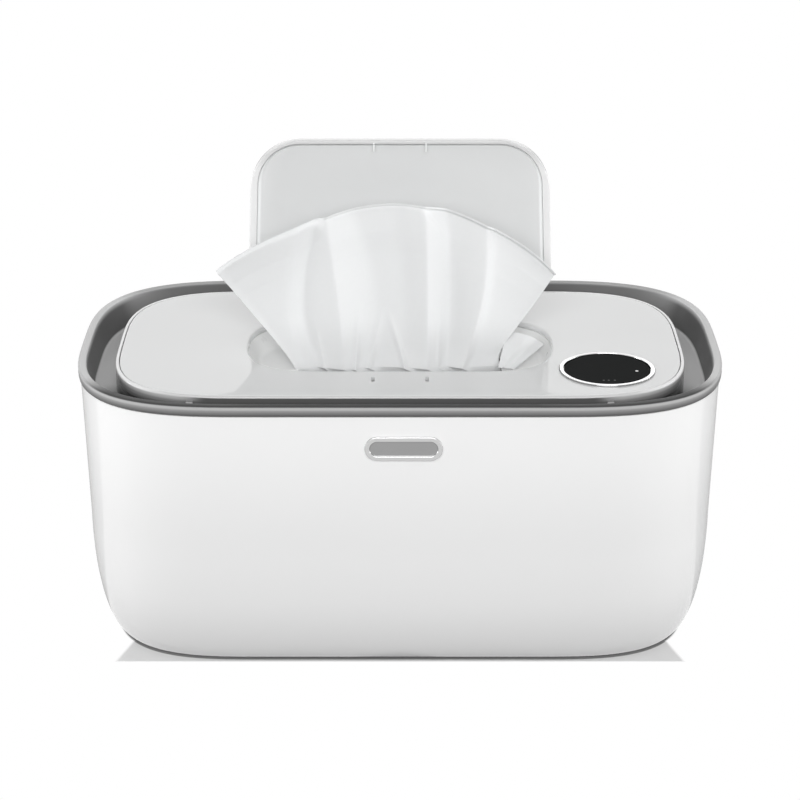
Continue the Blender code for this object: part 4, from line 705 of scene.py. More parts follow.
def makePanel(d):
    # A flat ring from the lid's outline to the opening, both edges eased
    top, bottom = levels["lidTop"], levels["panelBottom"]
    outside = softProfile([(d["inset"], bottom), (d["inset"], top), (d["inset"] + 0.004, top)], [0, d["edge"], 0])
    inside = softProfile([(-0.004, top), (0, top), (0, bottom)], [0, d["mouthRound"], 0])
    rings = np.concatenate([ringsFrom(lidShape, outside), ringsFrom(openingShape, inside)])
    return ringPiece("lid_panel", rings, wrap=True, sharp=30)


def panelCuts(d):
    # The display's hole and the two slits
    cuts = [rod("displayHole", (*displaySpot, 0), d["displayHole"], *d["cutZ"], steps=96)]
    slitSpan = (d["slitY"] - d["slitLength"] / 2, d["slitY"] + d["slitLength"] / 2)
    return cuts + [boxPiece(f"slit{s}", s * d["slitX"], d["slitWidth"], slitSpan, d["cutZ"]) for s in (-1, 1)]


def panelEars(d):
    footZ = levels["lidTop"] - d["earSink"]
    return [earShell(f"ear{s}", s * d["earX"], d["earWidth"], flapAxis, d["earRadius"], footZ) for s in (-1, 1)]


def panelBores(d):
    return [rod(f"earBore{s}", (s * d["earX"], *flapAxis), d["earBore"], -d["boreReach"], d["boreReach"], steps=24,
                along="X") for s in (-1, 1)]


panel = carve(makePanel(panelDetail), panelCuts(panelDetail))
panel = carve(panel, panelEars(panelDetail), "UNION")
finish(carve(panel, panelBores(panelDetail)), finishes["panel"], "lid", "panel", "lid_top_panel")

trayDetail = {"flange": 0.0024, "wall": 0.0014, "slope": 0.0030, "foot": 0.0022, "floorReach": 0.006,
              "slotReach": -0.002}


def makeTray(d):
    # Flange under the panel, sloped wall, a soft foot radius, the floor and the eased slot
    top, floor, under = levels["panelBottom"] - clearance, levels["wellFloor"], levels["wellFloor"] - d["wall"]
    upper = softProfile([(-d["flange"], top), (0.0, top), (d["slope"], floor), (d["slope"] + d["floorReach"], floor)],
                        [0, 0.0004, d["foot"], 0])
    lower = softProfile([(d["slope"] + d["floorReach"], under), (d["slope"] - d["wall"] / 2, under),
                         (-d["wall"], top - d["wall"]), (-d["flange"], top - d["wall"])], [0, 0.0012, 0.0004, 0])
    slot = softProfile([(d["slotReach"], floor), (0, floor), (0, under), (d["slotReach"], under)],
                       [0, 0.0006, 0.0006, 0])
    rings = [ringsFrom(openingShape, upper), ringsFrom(slotShape, slot), ringsFrom(openingShape, lower)]
    return ringPiece("tray", np.concatenate(rings), wrap=True, sharp=50)


finish(makeTray(trayDetail), finishes["tray"], "lid", "panel", "dispensing_well")


sealDetail = {"inset": 0.0035, "width": 0.0024, "round": 0.0011}


def makeSeal(d):
    # A soft strip between liner and gutter, rounded where it presses
    low, high = levels["gutterTop"] + clearance, levels["linerBottom"] - clearance
    near, far = d["inset"], d["inset"] + d["width"]
    profile = softProfile([(near, high), (near, low), (far, low), (far, high)], [0, d["round"], d["round"], 0],
                          wrap=True)
    return ringPiece("seal_strip", ringsFrom(lidShape, profile), wrap=True)


finish(makeSeal(sealDetail), finishes["seal"], "lid", "silicone", "lid_seal")
print("lid made")

# Display, badge
displayDetail = {"lens": 0.0165, "bezel": 0.0184, "lift": 0.0007, "bore": 0.0168, "tube": 0.0173, "ledge": 0.0156,
                 "ledgeTop": 0.1076, "ledgeLow": 0.1066, "lensLift": 0.0003, "lensEdge": 0.0004, "dome": 0.00012,
                 "markLift": 0.0004}


def makeBezel(d):
    # A turned ring: rounded flange on the panel, bore for the lens, ledge below
    top, low = levels["lidTop"] + d["lift"], levels["lidTop"] + clearance
    profile = softProfile([(d["bezel"], low), (d["bezel"], top), (d["bore"], top), (d["bore"], d["ledgeTop"]),
                           (d["ledge"], d["ledgeTop"]), (d["ledge"], d["ledgeLow"]), (d["tube"], d["ledgeLow"]),
                           (d["tube"], low)], [0.0002, 0.0004, 0.0003, 0, 0, 0, 0, 0], wrap=True)
    return turned("display_ring", (*displaySpot, 0), profile, wrap=True, steps=144)


def makeLens(d):
    # A disc with an eased edge, its face domed by a hair: height falls with the square of the radius
    low, top = d["ledgeTop"] + clearance, levels["lidTop"] + d["lensLift"]
    r = d["lens"] * np.linspace(1, 0, 13)[1:-1] ** 0.7
    face = np.c_[r, top + d["dome"] * (1 - (r / d["lens"]) ** 2)]
    edge = roundOver((d["lens"], low), (d["lens"], top), (0, top), d["lensEdge"])
    return turned("display_glass", (*displaySpot, 0), np.concatenate([[(d["lens"], low)], edge, face]), steps=144)


def displayFinish(marks):
    # Black glass: a lit dot and three faint marks, each a soft disc about its own place on the face
    material = finishOf("displayGlass", "plastic", (0.026, 0.027, 0.027), 0.08,
                        shader={"IOR": 1.5, "Specular IOR Level": 0.0, "Emission Strength": 1.0},
                        **{"Tone Drift": 0.1, "Gloss Drift": 0.02})
    tree = material.node_tree
    where = tree.nodes["Texture Coordinate"].outputs["Object"]
    markZ = levels["lidTop"] + displayDetail["markLift"]
    masks = []
    for x, y, radius, level in marks:
        far = node(tree, "ShaderNodeVectorMath", {0: where, 1: (x, y, markZ)}, operation="DISTANCE")
        masks.append(fadeOf(tree, far.outputs["Value"], radius * 0.7, radius * 1.2, level, 0.0))
    total = joined(tree, "MAXIMUM", masks)
    glow = node(tree, "ShaderNodeCombineColor", {0: total, 1: total, 2: total})
    feed(tree, tree.nodes["Principled BSDF"].inputs["Emission Color"], glow.outputs[0])
    return material


# x, y, radius and brightness of each mark
displayMarks = [(0.0906, -0.0345, 0.00062, 0.9), (0.0772, -0.0444, 0.00045, 0.10), (0.0791, -0.0444, 0.00045, 0.10),
                (0.0814, -0.0444, 0.00045, 0.10)]
displayRing = makeBezel(displayDetail)
ringX, ringY, ringZ = pointsOf(displayRing).T
storeValues(displayRing, "radius", np.hypot(ringX - displaySpot[0], ringY - displaySpot[1]))
finish(displayRing, finishes["bezel"], "lid", "bright", "display_bezel")
finish(makeLens(displayDetail), displayFinish(displayMarks), "lid", "lens", "display_lens")

badgeDetail = {"halfX": 0.01455, "halfZ": 0.0048, "thickness": 0.0008, "border": 0.0017, "sink": 0.0004,
               "x": 0.0014, "z": 0.0929, "gap": 0.0003}


def makeBadge(d):
    # Capsule outlines stacked forwards: eased edge, raised border, plain sunk field; leans with the case wall
    shape = {"halfX": d["halfX"], "halfY": d["halfZ"], "corner": d["halfZ"], "power": 2.0}
    profile = softProfile([(0, 0), (0, d["thickness"]), (d["border"], d["thickness"]),
                           (d["border"] + 0.00025, d["thickness"] - d["sink"]),
                           (d["halfZ"] * 0.9, d["thickness"] - d["sink"])], [0, 0.0003, 0.00018, 0.00015, 0])
    line = np.array([cornerLine(shape, inset) for inset, lift in profile])
    lift = np.broadcast_to(profile[:, 1][:, None], line.shape[:2])
    lean = math.atan(caseDetail["taper"])
    faceY = -(rimShape["halfY"] - caseDetail["topInset"] - caseDetail["taper"] * (levels["caseTop"] - d["z"]))
    y = faceY - d["gap"] - lift * math.cos(lean) - line[..., 1] * math.sin(lean)
    z = d["z"] + line[..., 1] * math.cos(lean) - lift * math.sin(lean)
    return ringPiece("badge_plate", np.stack([line[..., 0] + d["x"], y, z], -1))


def storeBorder(piece, d):
    # How far in from the capsule's outline each vertex lies: its half height less its distance from the core line
    x, y, z = pointsOf(piece).T
    beyond = np.clip(np.abs(x - d["x"]) - (d["halfX"] - d["halfZ"]), 0, None)
    storeValues(piece, "border", d["halfZ"] - np.hypot(beyond, z - d["z"]))


badge = makeBadge(badgeDetail)
storeBorder(badge, badgeDetail)
finish(badge, finishes["badge"], "root", "bright", "badge")
print("display and badge made")

# Flap, drawn closed about its hinge line and then turned open
flapDetail = {"halfX": 0.0606, "taper": 0.0012, "length": 0.0737, "corner": 0.0200, "height": 0.0052, "roof": 0.0016,
              "rim": 0.0029, "rimRound": (0.0005, 0.0006), "endWall": 0.0014, "edge": 0.0013, "openAngle": 93.0,
              "notch": 0.0058, "notchGap": 0.0004, "notchReach": 0.01,
              "liner": 0.0010, "linerGap": 0.0003, "linerSide": 0.0001, "linerBack": 0.0007,
              "cove": 0.0024, "endCove": 0.0008, "coveGap": 0.0003, "barrelEnd": 0.0396, "barrelShare": 0.997,
              "barrelRound": 0.0006, "barrelCore": 0.0001, "bladeY": -0.0685, "bladeLength": 0.0034,
              "bladeThickness": 0.0005, "bladeReach": 0.0012, "bladeSink": 0.0008, "bladeEdge": 0.0001}


def flapLine(d, inset, endInset):
    # Four quarter circles joined by straight sides, the free end a little narrower than the hinge end
    r = d["corner"] - inset
    backX, frontX = d["halfX"] - d["corner"], d["halfX"] - d["corner"] - d["taper"]
    backY, frontY = -d["corner"], r + endInset + d["height"] / 2 - d["length"]
    a = np.linspace(0, math.pi / 2, cornerSteps + 1)
    quarters = []
    for turn, x, y in ((0, backX, backY), (1, -backX, backY), (2, -frontX, frontY), (3, frontX, frontY)):
        angle = a + turn * math.pi / 2
        quarters.append(np.c_[x + r * np.cos(angle), y + r * np.sin(angle)])
    return np.concatenate(quarters)


def flapRings(d, sections):
    # One outline for each (inset, end inset, height)
    return np.array([np.c_[flapLine(d, i, e), np.full(4 * (cornerSteps + 1), z)] for i, e, z in sections])


def turnOpen(d, points):
    a = -math.radians(d["openAngle"])
    y, z = points[..., 1], points[..., 2]
    return np.stack([points[..., 0], flapAxis[0] + y * math.cos(a) - z * math.sin(a),
                     flapAxis[1] + y * math.sin(a) + z * math.cos(a)], -1)


def makeFlapShell(d):
    # A cup: roof inside, down the inner wall, over the rounded rim, up the outer wall, over to the top
    half, roof, edge = d["height"] / 2, d["height"] / 2 - d["roof"], d["edge"]
    innerRound, outerRound = d["rimRound"]
    inner = [(d["rim"], d["endWall"], z) for z in (roof, -half + innerRound)]
    over = roundOver((d["rim"], -half + innerRound * 2), (d["rim"], -half), (0, -half), innerRound, 4)
    under = roundOver((d["rim"], -half), (0, -half), (0, half), outerRound, 5)
    top = roundOver((0, -half), (0, half), (0.01, half), edge, 8)
    share = d["endWall"] / d["rim"]
    sections = inner + [(i, i * share, z) for i, z in over[1:]] + [(i, i * share, z) for i, z in under]
    sections += [(i, i, z) for i, z in top]
    return ringPiece("flap_cap", flapRings(d, sections), sharp=50)


def flapBarrel(d):
    # The rounded back end that turns about the hinge axis
    r, end = d["height"] / 2 * d["barrelShare"], d["barrelEnd"]
    profile = softProfile([(d["barrelCore"], -end), (r, -end), (r, end), (d["barrelCore"], end)],
                          [0, d["barrelRound"], d["barrelRound"], 0])
    return turned("barrel", (0, 0, 0), profile, along="X", steps=47)


def flapNotches(d):
    # Room for the panel's ears
    ySpan = (-d["height"] / 2 - d["notchGap"], d["notchReach"])
    return [boxPiece(f"notch{s}", s * panelDetail["earX"], d["notch"], ySpan, (-d["notchReach"], d["notchReach"]))
            for s in (-1, 1)]


def flapBlades(d):
    # Two catches that enter the panel's slits as the flap closes
    half = d["height"] / 2
    ySpan = (d["bladeY"] - d["bladeLength"] / 2, d["bladeY"] + d["bladeLength"] / 2)
    return [boxPiece(f"blade{s}", s * panelDetail["slitX"], d["bladeThickness"], ySpan,
                     (-half - d["bladeReach"], half - d["bladeSink"]), d["bladeEdge"]) for s in (-1, 1)]


def moveOpen(piece, d):
    piece.data.vertices.foreach_set("co", turnOpen(d, pointsOf(piece)).ravel())
    piece.data.update()
    return piece


flap = carve(makeFlapShell(flapDetail), [flapBarrel(flapDetail)], "UNION")
flap = carve(flap, flapNotches(flapDetail))
finish(moveOpen(flap, flapDetail), finishes["flap"], "flap", "case", "flap_shell")


def coveSpan(d):
    # Heights of the closed liner: its plate's face and the cove's crest at the rim
    return d["height"] / 2 - d["roof"] - d["linerGap"] - d["liner"], d["coveGap"] - d["height"] / 2


def makeFlapLiner(d):
    # The same outline a hair inside the rim: a thin plate that rises to the rim in a quarter-ellipse cove
    low, crest = coveSpan(d)
    side, end = d["rim"] + d["linerSide"], d["endWall"] + d["linerSide"]
    a = np.linspace(0, math.pi / 2, 9)
    sections = [(side, end, low + d["liner"])]
    sections += [(side + d["cove"] * wide, end + d["endCove"] * wide, crest + (low - crest) * rise)
                 for wide, rise in zip(1 - np.cos(a), np.sin(a))]
    rings = flapRings(d, sections)
    rings[..., 1] = np.minimum(rings[..., 1], -d["height"] / 2 - d["linerBack"])
    return ringPiece("flap_plate", rings, sharp=50)


def storeCove(piece, d):
    # How far up the cove each vertex of the still closed liner lies: none on the plate, one at the crest
    low, crest = coveSpan(d)
    storeValues(piece, "cove", np.clip((low - pointsOf(piece)[:, 2]) / (low - crest), 0, 1))


liner = together("flap_panel", makeFlapLiner(flapDetail), *flapBlades(flapDetail))
storeCove(liner, flapDetail)
finish(moveOpen(liner, flapDetail), finishes["inner"], "flap", "inner", "flap_liner")
print("flap made")

# The pulled wipe and the corner of the next one
wipeDetail = {
    "columns": 220, "rows": 120, "tailRows": 34, "thickness": 0.00028,
    "topX": [-0.0720, -0.0540, -0.0388, -0.0290, -0.0192, -0.0057, 0.0059, 0.0124, 0.0202, 0.0319, 0.0436, 0.0535,
             0.0612],
    "topZ": [0.1384, 0.1498, 0.1568, 0.1610, 0.1635, 0.1650, 0.1659, 0.1652, 0.1629, 0.1576, 0.1514, 0.1449, 0.1363],
    "baseX": (-0.0412, 0.0358), "slotX": (-0.0398, 0.0398), "tailX": (-0.0270, 0.0270), "tailZ": 0.0624,
    # the right edge's flare at its foot, and how far the foot leans forwards: reach and powers of the falloff
    "flare": (0.0040, 6, 14), "lean": (0.0050, 12),
    # the free edges' wave, their lift, and the share of the sheet that takes part at the top and at the sides
    "wave": 0.0004, "lift": 0.0003, "edgeShare": (0.03, 0.02),
    # tone, painted light and shade on the cloth: how much the slope counts, and where the ends of the sheet are
    # painted darker as turned away from the light, and by how much
    "slopeGain": 0.8, "endFrom": 0.035, "endRun": 0.025, "endTurn": 0.40,
    # fold lines: x at the slot, halfway and at the top, how far each stands back there, and its softness.
    # The cloth runs straight from one line to the next
    "folds": [((-0.0412, -0.0590, -0.0720), (-0.0030, -0.0010, 0.0010), 0.0010),
              ((-0.0370, -0.0438, -0.0400), (-0.0030, -0.0012, 0.0000), 0.0016),
              ((-0.0328, -0.0383, -0.0312), (-0.0002, 0.0022, 0.0022), 0.0014),
              ((-0.0222, -0.0250, -0.0294), (-0.0040, -0.0040, -0.0014), 0.0003),
              ((-0.0110, -0.0108, -0.0190), (-0.0002, 0.0006, 0.0012), 0.0024),
              ((0.0020, 0.0020, -0.0020), (-0.0010, 0.0002, 0.0004), 0.0024),
              ((0.0107, 0.0107, 0.0098), (-0.0036, -0.0036, -0.0022), 0.0002),
              ((0.0180, 0.0196, 0.0176), (0.0004, 0.0010, 0.0014), 0.0010),
              ((0.0246, 0.0322, 0.0340), (-0.0026, -0.0034, -0.0012), 0.0003),
              ((0.0272, 0.0348, 0.0366), (-0.0010, -0.0014, 0.0004), 0.0008),
              ((0.0372, 0.0530, 0.0612), (0.0006, 0.0010, 0.0018), 0.0010)],
    # small ridges that die out upwards: x at the slot and where they end, width, depth, end height share
    "ridges": [((-0.0176, -0.0156), 0.0016, 0.0026, 0.42), ((-0.0120, -0.0070), 0.0018, 0.0022, 0.36),
               ((0.0020, -0.0050), 0.0015, 0.0026, 0.34), ((-0.0300, -0.0345), 0.0014, 0.0012, 0.40),
               ((0.0150, 0.0160), 0.0012, 0.0010, 0.50)],
    # bright strokes of the curled top: x and height share of the two ends, width, depth
    "strokes": [((0.0100, 0.97), (0.0172, 0.72), 0.0011, 0.0016), ((-0.0320, 0.98), (-0.0350, 0.84), 0.0013, 0.0014)],
}


def shareLine(values, t):
    # Three values at slot, middle and top joined by a parabola
    a, b, c = values
    return a * (1 - t) * (1 - 2 * t) + 4 * b * t * (1 - t) + c * t * (2 * t - 1)


def wipeSheet(d):
    # Straight lines run from the gathered base to the arched top edge, the right edge flaring at its foot.
    # Across them the depth is a chain of straight runs between the fold lines: the first slope, plus half
    # the change of slope at each line times (distance + sqrt(distance^2 + softness^2))
    u = np.linspace(0, 1, d["columns"] + 1)[None, :]
    v = np.linspace(0, 1, d["rows"] + 1)[:, None]
    topX = d["topX"][0] + (d["topX"][-1] - d["topX"][0]) * u
    topZ = np.polyval(np.polyfit(d["topX"], d["topZ"], 6), topX)
    baseX = d["baseX"][0] + (d["baseX"][1] - d["baseX"][0]) * u
    baseZ = levels["wellFloor"]
    flare, across, down = d["flare"]
    x = baseX + (topX - baseX) * v + flare * u ** across * (1 - v) ** down
    z = baseZ + (topZ - baseZ) * v
    lineX = [shareLine(places, v) for places, depths, soft in d["folds"]]
    lineY = [shareLine(depths, v) for places, depths, soft in d["folds"]]
    slopes = [(lineY[i + 1] - lineY[i]) / (lineX[i + 1] - lineX[i]) for i in range(len(lineX) - 1)]
    y = lineY[0] + slopes[0] * (x - lineX[0])
    for i in range(1, len(slopes)):
        away = x - lineX[i]
        soft = d["folds"][i][2]
        y = y + (slopes[i] - slopes[i - 1]) / 2 * (away + np.sqrt(away ** 2 + soft ** 2))
    for (low, end), wide, deep, reach in d["ridges"]:
        rise = np.clip(v / reach, 0, 1)
        away = (x - low - (end - low) * rise) / wide
        y = y - deep * (1 - rise) ** 1.3 * np.exp(-np.sqrt(away ** 2 + 0.05) * 1.6)
    for (fromX, fromV), (toX, toV), wide, deep in d["strokes"]:
        share = np.clip((v - fromV) / (toV - fromV), -0.1, 1.1)
        bend = 0.0030 * np.sin(math.pi * np.clip(share, 0, 1))
        along = np.exp(-((np.clip(share, 0, 1) - share) / 0.05) ** 2) * np.clip(1.1 - share, 0, 1)
        y = y + deep * along * np.tanh((x - fromX - (toX - fromX) * share - bend) / wide) / 2
    # the free edges lift a little towards the front, and so does the foot
    top, side = d["edgeShare"]
    lean, power = d["lean"]
    rim = np.exp(-((1 - v) / top) ** 2) + 0.5 * np.exp(-((1 - np.abs(2 * u - 1)) / side) ** 2)
    y = y - d["wave"] * rim * np.sin(2 * math.pi * (2.3 * u + 0.2)) - d["lift"] * rim - lean * (1 - v) ** power
    return x, y, z


def wipeTail(d, x, y):
    # Down through the slot the cloth keeps its folds, below it narrows and they deepen by a sine
    t = np.linspace(1, 0, d["tailRows"] + 1)[:-1][:, None] ** 1.5
    u = np.linspace(0, 1, d["columns"] + 1)[None, :]
    slotX = d["slotX"][0] + (d["slotX"][1] - d["slotX"][0]) * u
    tailX = d["tailX"][0] + (d["tailX"][1] - d["tailX"][0]) * u
    enter = np.clip(t / 0.03, 0, 1)
    narrow = np.clip((t - 0.12) / 0.88, 0, 1) ** 1.2
    across = x[0] + (slotX - x[0]) * enter
    across = across + (tailX - across) * narrow
    mean = y[0].mean()
    folds = 0.0036 * np.sin(2 * math.pi * 5.5 * u) * np.sin(math.pi * narrow / 2)
    inward = (y[0] - mean) * (1 - 0.7 * narrow) + mean + folds
    z = levels["wellFloor"] + (d["tailZ"] - levels["wellFloor"]) * t + 0 * u
    return across, inward, z


def storeSlope(piece, x, y, d):
    # Painted light and shade from how the sheet faces: 0.5 flat, more where it turns to the right, less to the left
    # and at the far ends, kept as "fold" on both of its faces
    slope = np.gradient(y, axis=1) / np.gradient(x, axis=1)
    ends = np.clip((np.abs(x) - d["endFrom"]) / d["endRun"], 0, 1)
    values = np.clip(0.5 + d["slopeGain"] * (slope - d["endTurn"] * ends), 0, 1)
    values = (np.roll(values, 1, 1) + 2 * values + np.roll(values, -1, 1)) / 4
    storeValues(piece, "fold", np.resize(values.ravel(), len(piece.data.vertices)))


def sheetPiece(name, x, y, z, thickness):
    points = np.stack(np.broadcast_arrays(x, y, z), -1)
    rows, columns = points.shape[:2]
    mesh = bpy.data.meshes.new(name)
    mesh.from_pydata(points.reshape(-1, 3).tolist(), [], gridFaces(rows, columns, False, False).tolist())
    piece = place(name, mesh)
    wall = piece.modifiers.new("wall", "SOLIDIFY")
    wall.thickness, wall.offset = thickness, 0.0
    settle(piece)
    piece.data.polygons.foreach_set("use_smooth", np.ones(len(piece.data.polygons), bool))
    return piece


def sheetArea(x, y, z):
    points = np.stack(np.broadcast_arrays(x, y, z), -1)
    a, b = points[1:, :-1] - points[:-1, :-1], points[:-1, 1:] - points[:-1, :-1]
    return np.linalg.norm(np.cross(a, b), axis=2).sum()


x, y, z = wipeSheet(wipeDetail)
tailX, tailY, tailZ = wipeTail(wipeDetail, x, y)
x, y, z = (np.concatenate([np.broadcast_to(a, tailZ.shape), np.broadcast_to(b, x.shape)])
           for a, b in ((tailX, x), (tailY, y), (tailZ, z)))
wipe = sheetPiece("wipe_sheet", x, y, z, wipeDetail["thickness"])
finish(wipe, finishes["cloth"], "lid", "cloth", "pulled_wipe")
storeSlope(wipe, x, y, wipeDetail)
print("wipe area", round(float(sheetArea(x, y, z)), 5))
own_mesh(wipe)

nextDetail = {"frontX": (0.0385, 0.0446), "backX": (0.0425, 0.0572), "frontY": -0.0100, "backY": 0.0045,
              "frontZ": (0.1016, 0.1014, 0.1008), "backZ": (0.1116, 0.1106, 0.1062), "bow": 0.0020,
              "creases": (0.0005, 0.0003), "thickness": 0.00028}


def nextSheet(d):
    # A corner standing in the tray: a ruled sheet from a low front edge to a raised back edge, with soft creases
    u = np.linspace(0, 1, 61)[None, :]
    v = np.linspace(0, 1, 61)[:, None]
    frontX = d["frontX"][0] + (d["frontX"][1] - d["frontX"][0]) * u
    backX = d["backX"][0] + (d["backX"][1] - d["backX"][0]) * u
    x = frontX + (backX - frontX) * v
    y = d["frontY"] + (d["backY"] - d["frontY"]) * v - d["bow"] * np.sin(math.pi * u) * v
    z = shareLine(d["frontZ"], u) * (1 - v) + shareLine(d["backZ"], u) * v
    first, second = d["creases"]
    crease = first * np.exp(-((u - 0.35 - 0.25 * v) / 0.12) ** 2) + second * np.exp(-((u - 0.75) / 0.10) ** 2)
    return x, y - crease * np.sin(math.pi * v), z + crease * 0.5


x, y, z = nextSheet(nextDetail)
print("next area", round(float(sheetArea(x, y, z)), 6))
corner = sheetPiece("wipe_corner", x, y, z, nextDetail["thickness"])
finish(corner, finishes["cloth"], "lid", "cloth", "next_wipe")
storeValues(corner, "fold", np.full(len(corner.data.vertices), 0.5))
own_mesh(corner)
print("wipes made")

# Finishes on the nodes that keep their own shape
keptNodes = {
    "case": ["base_plate"], "inner": ["lid_liner"], "spreader": ["heater_plate"], "film": ["heating_film"],
    "foam": ["insulation_pad"], "board": ["control_board", "display_board"],
    "chip": ["temperature_sensor", "control_chip"],
    "lead": ["inlet_lead", "heater_lead", "display_lead_base", "display_lead_lid"],
    "rubber": [f"foot_{i}" for i in range(1, 5)],
    "steel": [f"{plate}_screw_{i}" for plate in ("base", "liner") for i in range(1, 5)]
    + [f"{hinge}_hinge_pin_{side}" for hinge in ("lid", "flap") for side in ("left", "right")],
}
for finishName, names in keptNodes.items():
    for item in (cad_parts[name] for name in names):
        for slotAt in item.material_slots:
            slotAt.material = finishes[finishName]
        if not item.material_slots:
            item.data.materials.append(finishes[finishName])
print("kept nodes finished:", sum(len(names) for names in keptNodes.values()))

# Floor, light and camera
# the seen floor grey and the contact grey are levels of painted shadow, and the edges and fade shape its patch
stageDetail = {"floorSize": 6.0, "floorZ": -0.0001, "shadowPatchGrey": 0.71, "bounceGrey": 0.35, "frontEdge": 0.0629,
               "sideEdge": 0.0911, "sideSlope": 0.30, "ringInset": 0.0116, "fade": (0.990, 1.010),
               "paintedContactGrey": 0.22, "contact": (0.0111, 0.0117), "mirrorFront": 1.0, "mirrorBack": 0.45,
               "mirrorLine": (0.209, 0.015, 0.384), "mirrorSoft": 0.002, "worldLevel": 0.30, "cameraDistance": 1.0,
               "cameraElevation": 20.0, "cameraDrop": 1.381, "lens": 113.85}


def rimReach(tree, awayX, awayY):
    # Distance out from the rim's core lines by the same superellipse as its mesh: the corner size on the outline
    past = [mathNode(tree, "MAXIMUM", mathNode(tree, "SUBTRACT", away, rimShape[side] - rimShape["corner"]), 0.0)
            for away, side in ((awayX, "halfX"), (awayY, "halfY"))]
    powers = [mathNode(tree, "POWER", part, rimShape["power"]) for part in past]
    return mathNode(tree, "POWER", mathNode(tree, "ADD", *powers), 1 / rimShape["power"])


def floorFinish(d):
    # The camera sees a pale grey patch under the object, a painted shadow which also keeps the real shadow and holds
    # a painted contact shadow, and plain white away from it.
    # Glossy surfaces mirror a white floor in front and a grey one behind a line at each side
    material = bpy.data.materials.new("studioFloor")
    material.use_nodes = True
    tree = material.node_tree
    tree.nodes.clear()
    where = tree.nodes.new("ShaderNodeTexCoord").outputs["Object"]
    x, y, z = node(tree, "ShaderNodeSeparateXYZ", {0: where}).outputs
    awayX, awayY = mathNode(tree, "ABSOLUTE", x), mathNode(tree, "ABSOLUTE", y)
    reach = rimReach(tree, awayX, awayY)
    # painted contact shadow: darker where the object stands
    outer, inner = (rimShape["corner"] - inset for inset in d["contact"])
    seen = node(tree, "ShaderNodeBsdfDiffuse",
                {"Color": fadeOf(tree, reach, outer, inner, d["shadowPatchGrey"], d["paintedContactGrey"])})
    # the grey patch of painted shadow, which also takes the real shadow, is kept up to a straight front edge, sides
    # that draw in towards the middle, and close to the object all round; each distance counts one at its own edge
    inFront = mathNode(tree, "DIVIDE", awayY, d["frontEdge"])
    drawnIn = mathNode(tree, "SUBTRACT", awayX, mathNode(tree, "MULTIPLY", awayY, d["sideSlope"]))
    besideIt = mathNode(tree, "DIVIDE", drawnIn, d["sideEdge"])
    around = mathNode(tree, "DIVIDE", reach, rimShape["corner"] - d["ringInset"])
    far = mathNode(tree, "MINIMUM", mathNode(tree, "MAXIMUM", inFront, besideIt), around)
    near = mixOf(tree, fadeOf(tree, far, *d["fade"]), seen, tree.nodes.new("ShaderNodeEmission"))
    # what glossy surfaces mirror, and what only receives and returns light
    startX, startY, slope = d["mirrorLine"]
    lineY = mathNode(tree, "MULTIPLY", mathNode(tree, "SUBTRACT", awayX, startX), slope)
    behind = fadeOf(tree, mathNode(tree, "SUBTRACT", y, lineY), startY - d["mirrorSoft"], startY + d["mirrorSoft"],
                    d["mirrorFront"], d["mirrorBack"])
    mirrored = node(tree, "ShaderNodeEmission", {"Color": behind})
    plain = node(tree, "ShaderNodeBsdfDiffuse", {"Color": (*[d["bounceGrey"]] * 3, 1)})
    path = tree.nodes.new("ShaderNodeLightPath").outputs
    unseen = mixOf(tree, path["Is Glossy Ray"], plain, mirrored)
    mix = mixOf(tree, path["Is Camera Ray"], unseen, near)
    node(tree, "ShaderNodeOutputMaterial", {"Surface": mix.outputs[0]})
    return material


def makeFloor(d):
    # A flat square under the feet
    half, z = d["floorSize"] / 2, d["floorZ"]
    mesh = bpy.data.meshes.new("floor")
    mesh.from_pydata([(-half, -half, z), (half, -half, z), (half, half, z), (-half, half, z)], [], [(0, 1, 2, 3)])
    floor = place("floor", mesh)
    mesh.materials.append(floorFinish(d))


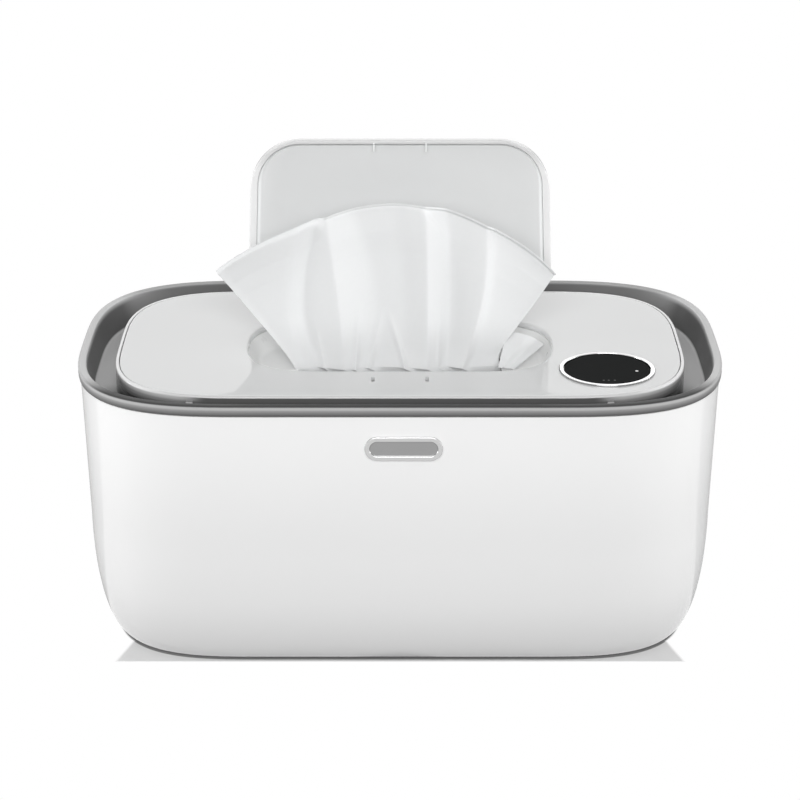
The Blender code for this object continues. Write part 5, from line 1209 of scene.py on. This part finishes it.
def makeWorld(d):
    # White where it is seen, mirrored or seen through glass, a soft even level where it lights
    world = bpy.data.worlds.new("studio")
    bpy.context.scene.world = world
    world.use_nodes = True
    tree = world.node_tree
    path = tree.nodes.new("ShaderNodeLightPath").outputs
    seen = joined(tree, "MAXIMUM", [path[f"Is {kind} Ray"] for kind in ("Camera", "Glossy", "Transmission")])
    level = mathNode(tree, "ADD", mathNode(tree, "MULTIPLY", seen, 1.0 - d["worldLevel"]), d["worldLevel"])
    background = tree.nodes["Background"].inputs
    background["Color"].default_value = (1, 1, 1, 1)
    feed(tree, background["Strength"], level)


def softLight(name, at, aim, size, power):
    lamp = bpy.data.lights.new(name, "AREA")
    lamp.shape = "RECTANGLE"
    lamp.size, lamp.size_y = size
    lamp.energy = power
    item = bpy.data.objects.new(name, lamp)
    bpy.context.scene.collection.objects.link(item)
    item.location = at
    item.rotation_euler = (Vector(aim) - Vector(at)).to_track_quat("-Z", "Y").to_euler()



def makeCamera(d):
    rise = math.radians(d["cameraElevation"])
    target = Vector((0, 0, levels["rimTop"]))
    at = target + Vector((0, -math.cos(rise), math.sin(rise))) * d["cameraDistance"]
    data = bpy.data.cameras.new("camera")
    data.lens, data.sensor_width = d["lens"], 36.0
    data.clip_start, data.clip_end = 0.05, 20.0
    camera = bpy.data.objects.new("camera", data)
    bpy.context.scene.collection.objects.link(camera)
    camera.location = at
    camera.rotation_euler = (math.pi / 2 - rise - math.radians(d["cameraDrop"]), 0, 0)
    bpy.context.scene.camera = camera


# place, aim, size and power of each lamp
lamps = {
    "overhead": ((0.0, -0.1, 1.5), (0, 0, 0.08), (1.6, 1.2), 2.6),
    "frontKey": ((0.0, -1.3, 0.75), (0, 0, 0.06), (1.2, 0.6), 15.5),
    "leftSide": ((-0.97, 0.08, 0.16), (-0.05, 0, 0.06), (0.6, 0.3), 5.0),
    "rightSide": ((0.97, 0.08, 0.16), (0.05, 0, 0.06), (0.6, 0.3), 4.2),
    "backPanel": ((0.0, 1.2, 0.60), (0, 0, 0.11), (2.2, 0.8), 3.0),
}
makeFloor(stageDetail)
makeWorld(stageDetail)
for name, values in lamps.items():
    softLight(name, *values)
makeCamera(stageDetail)
bpy.context.scene.view_settings.view_transform = "Standard"
print("stage set")
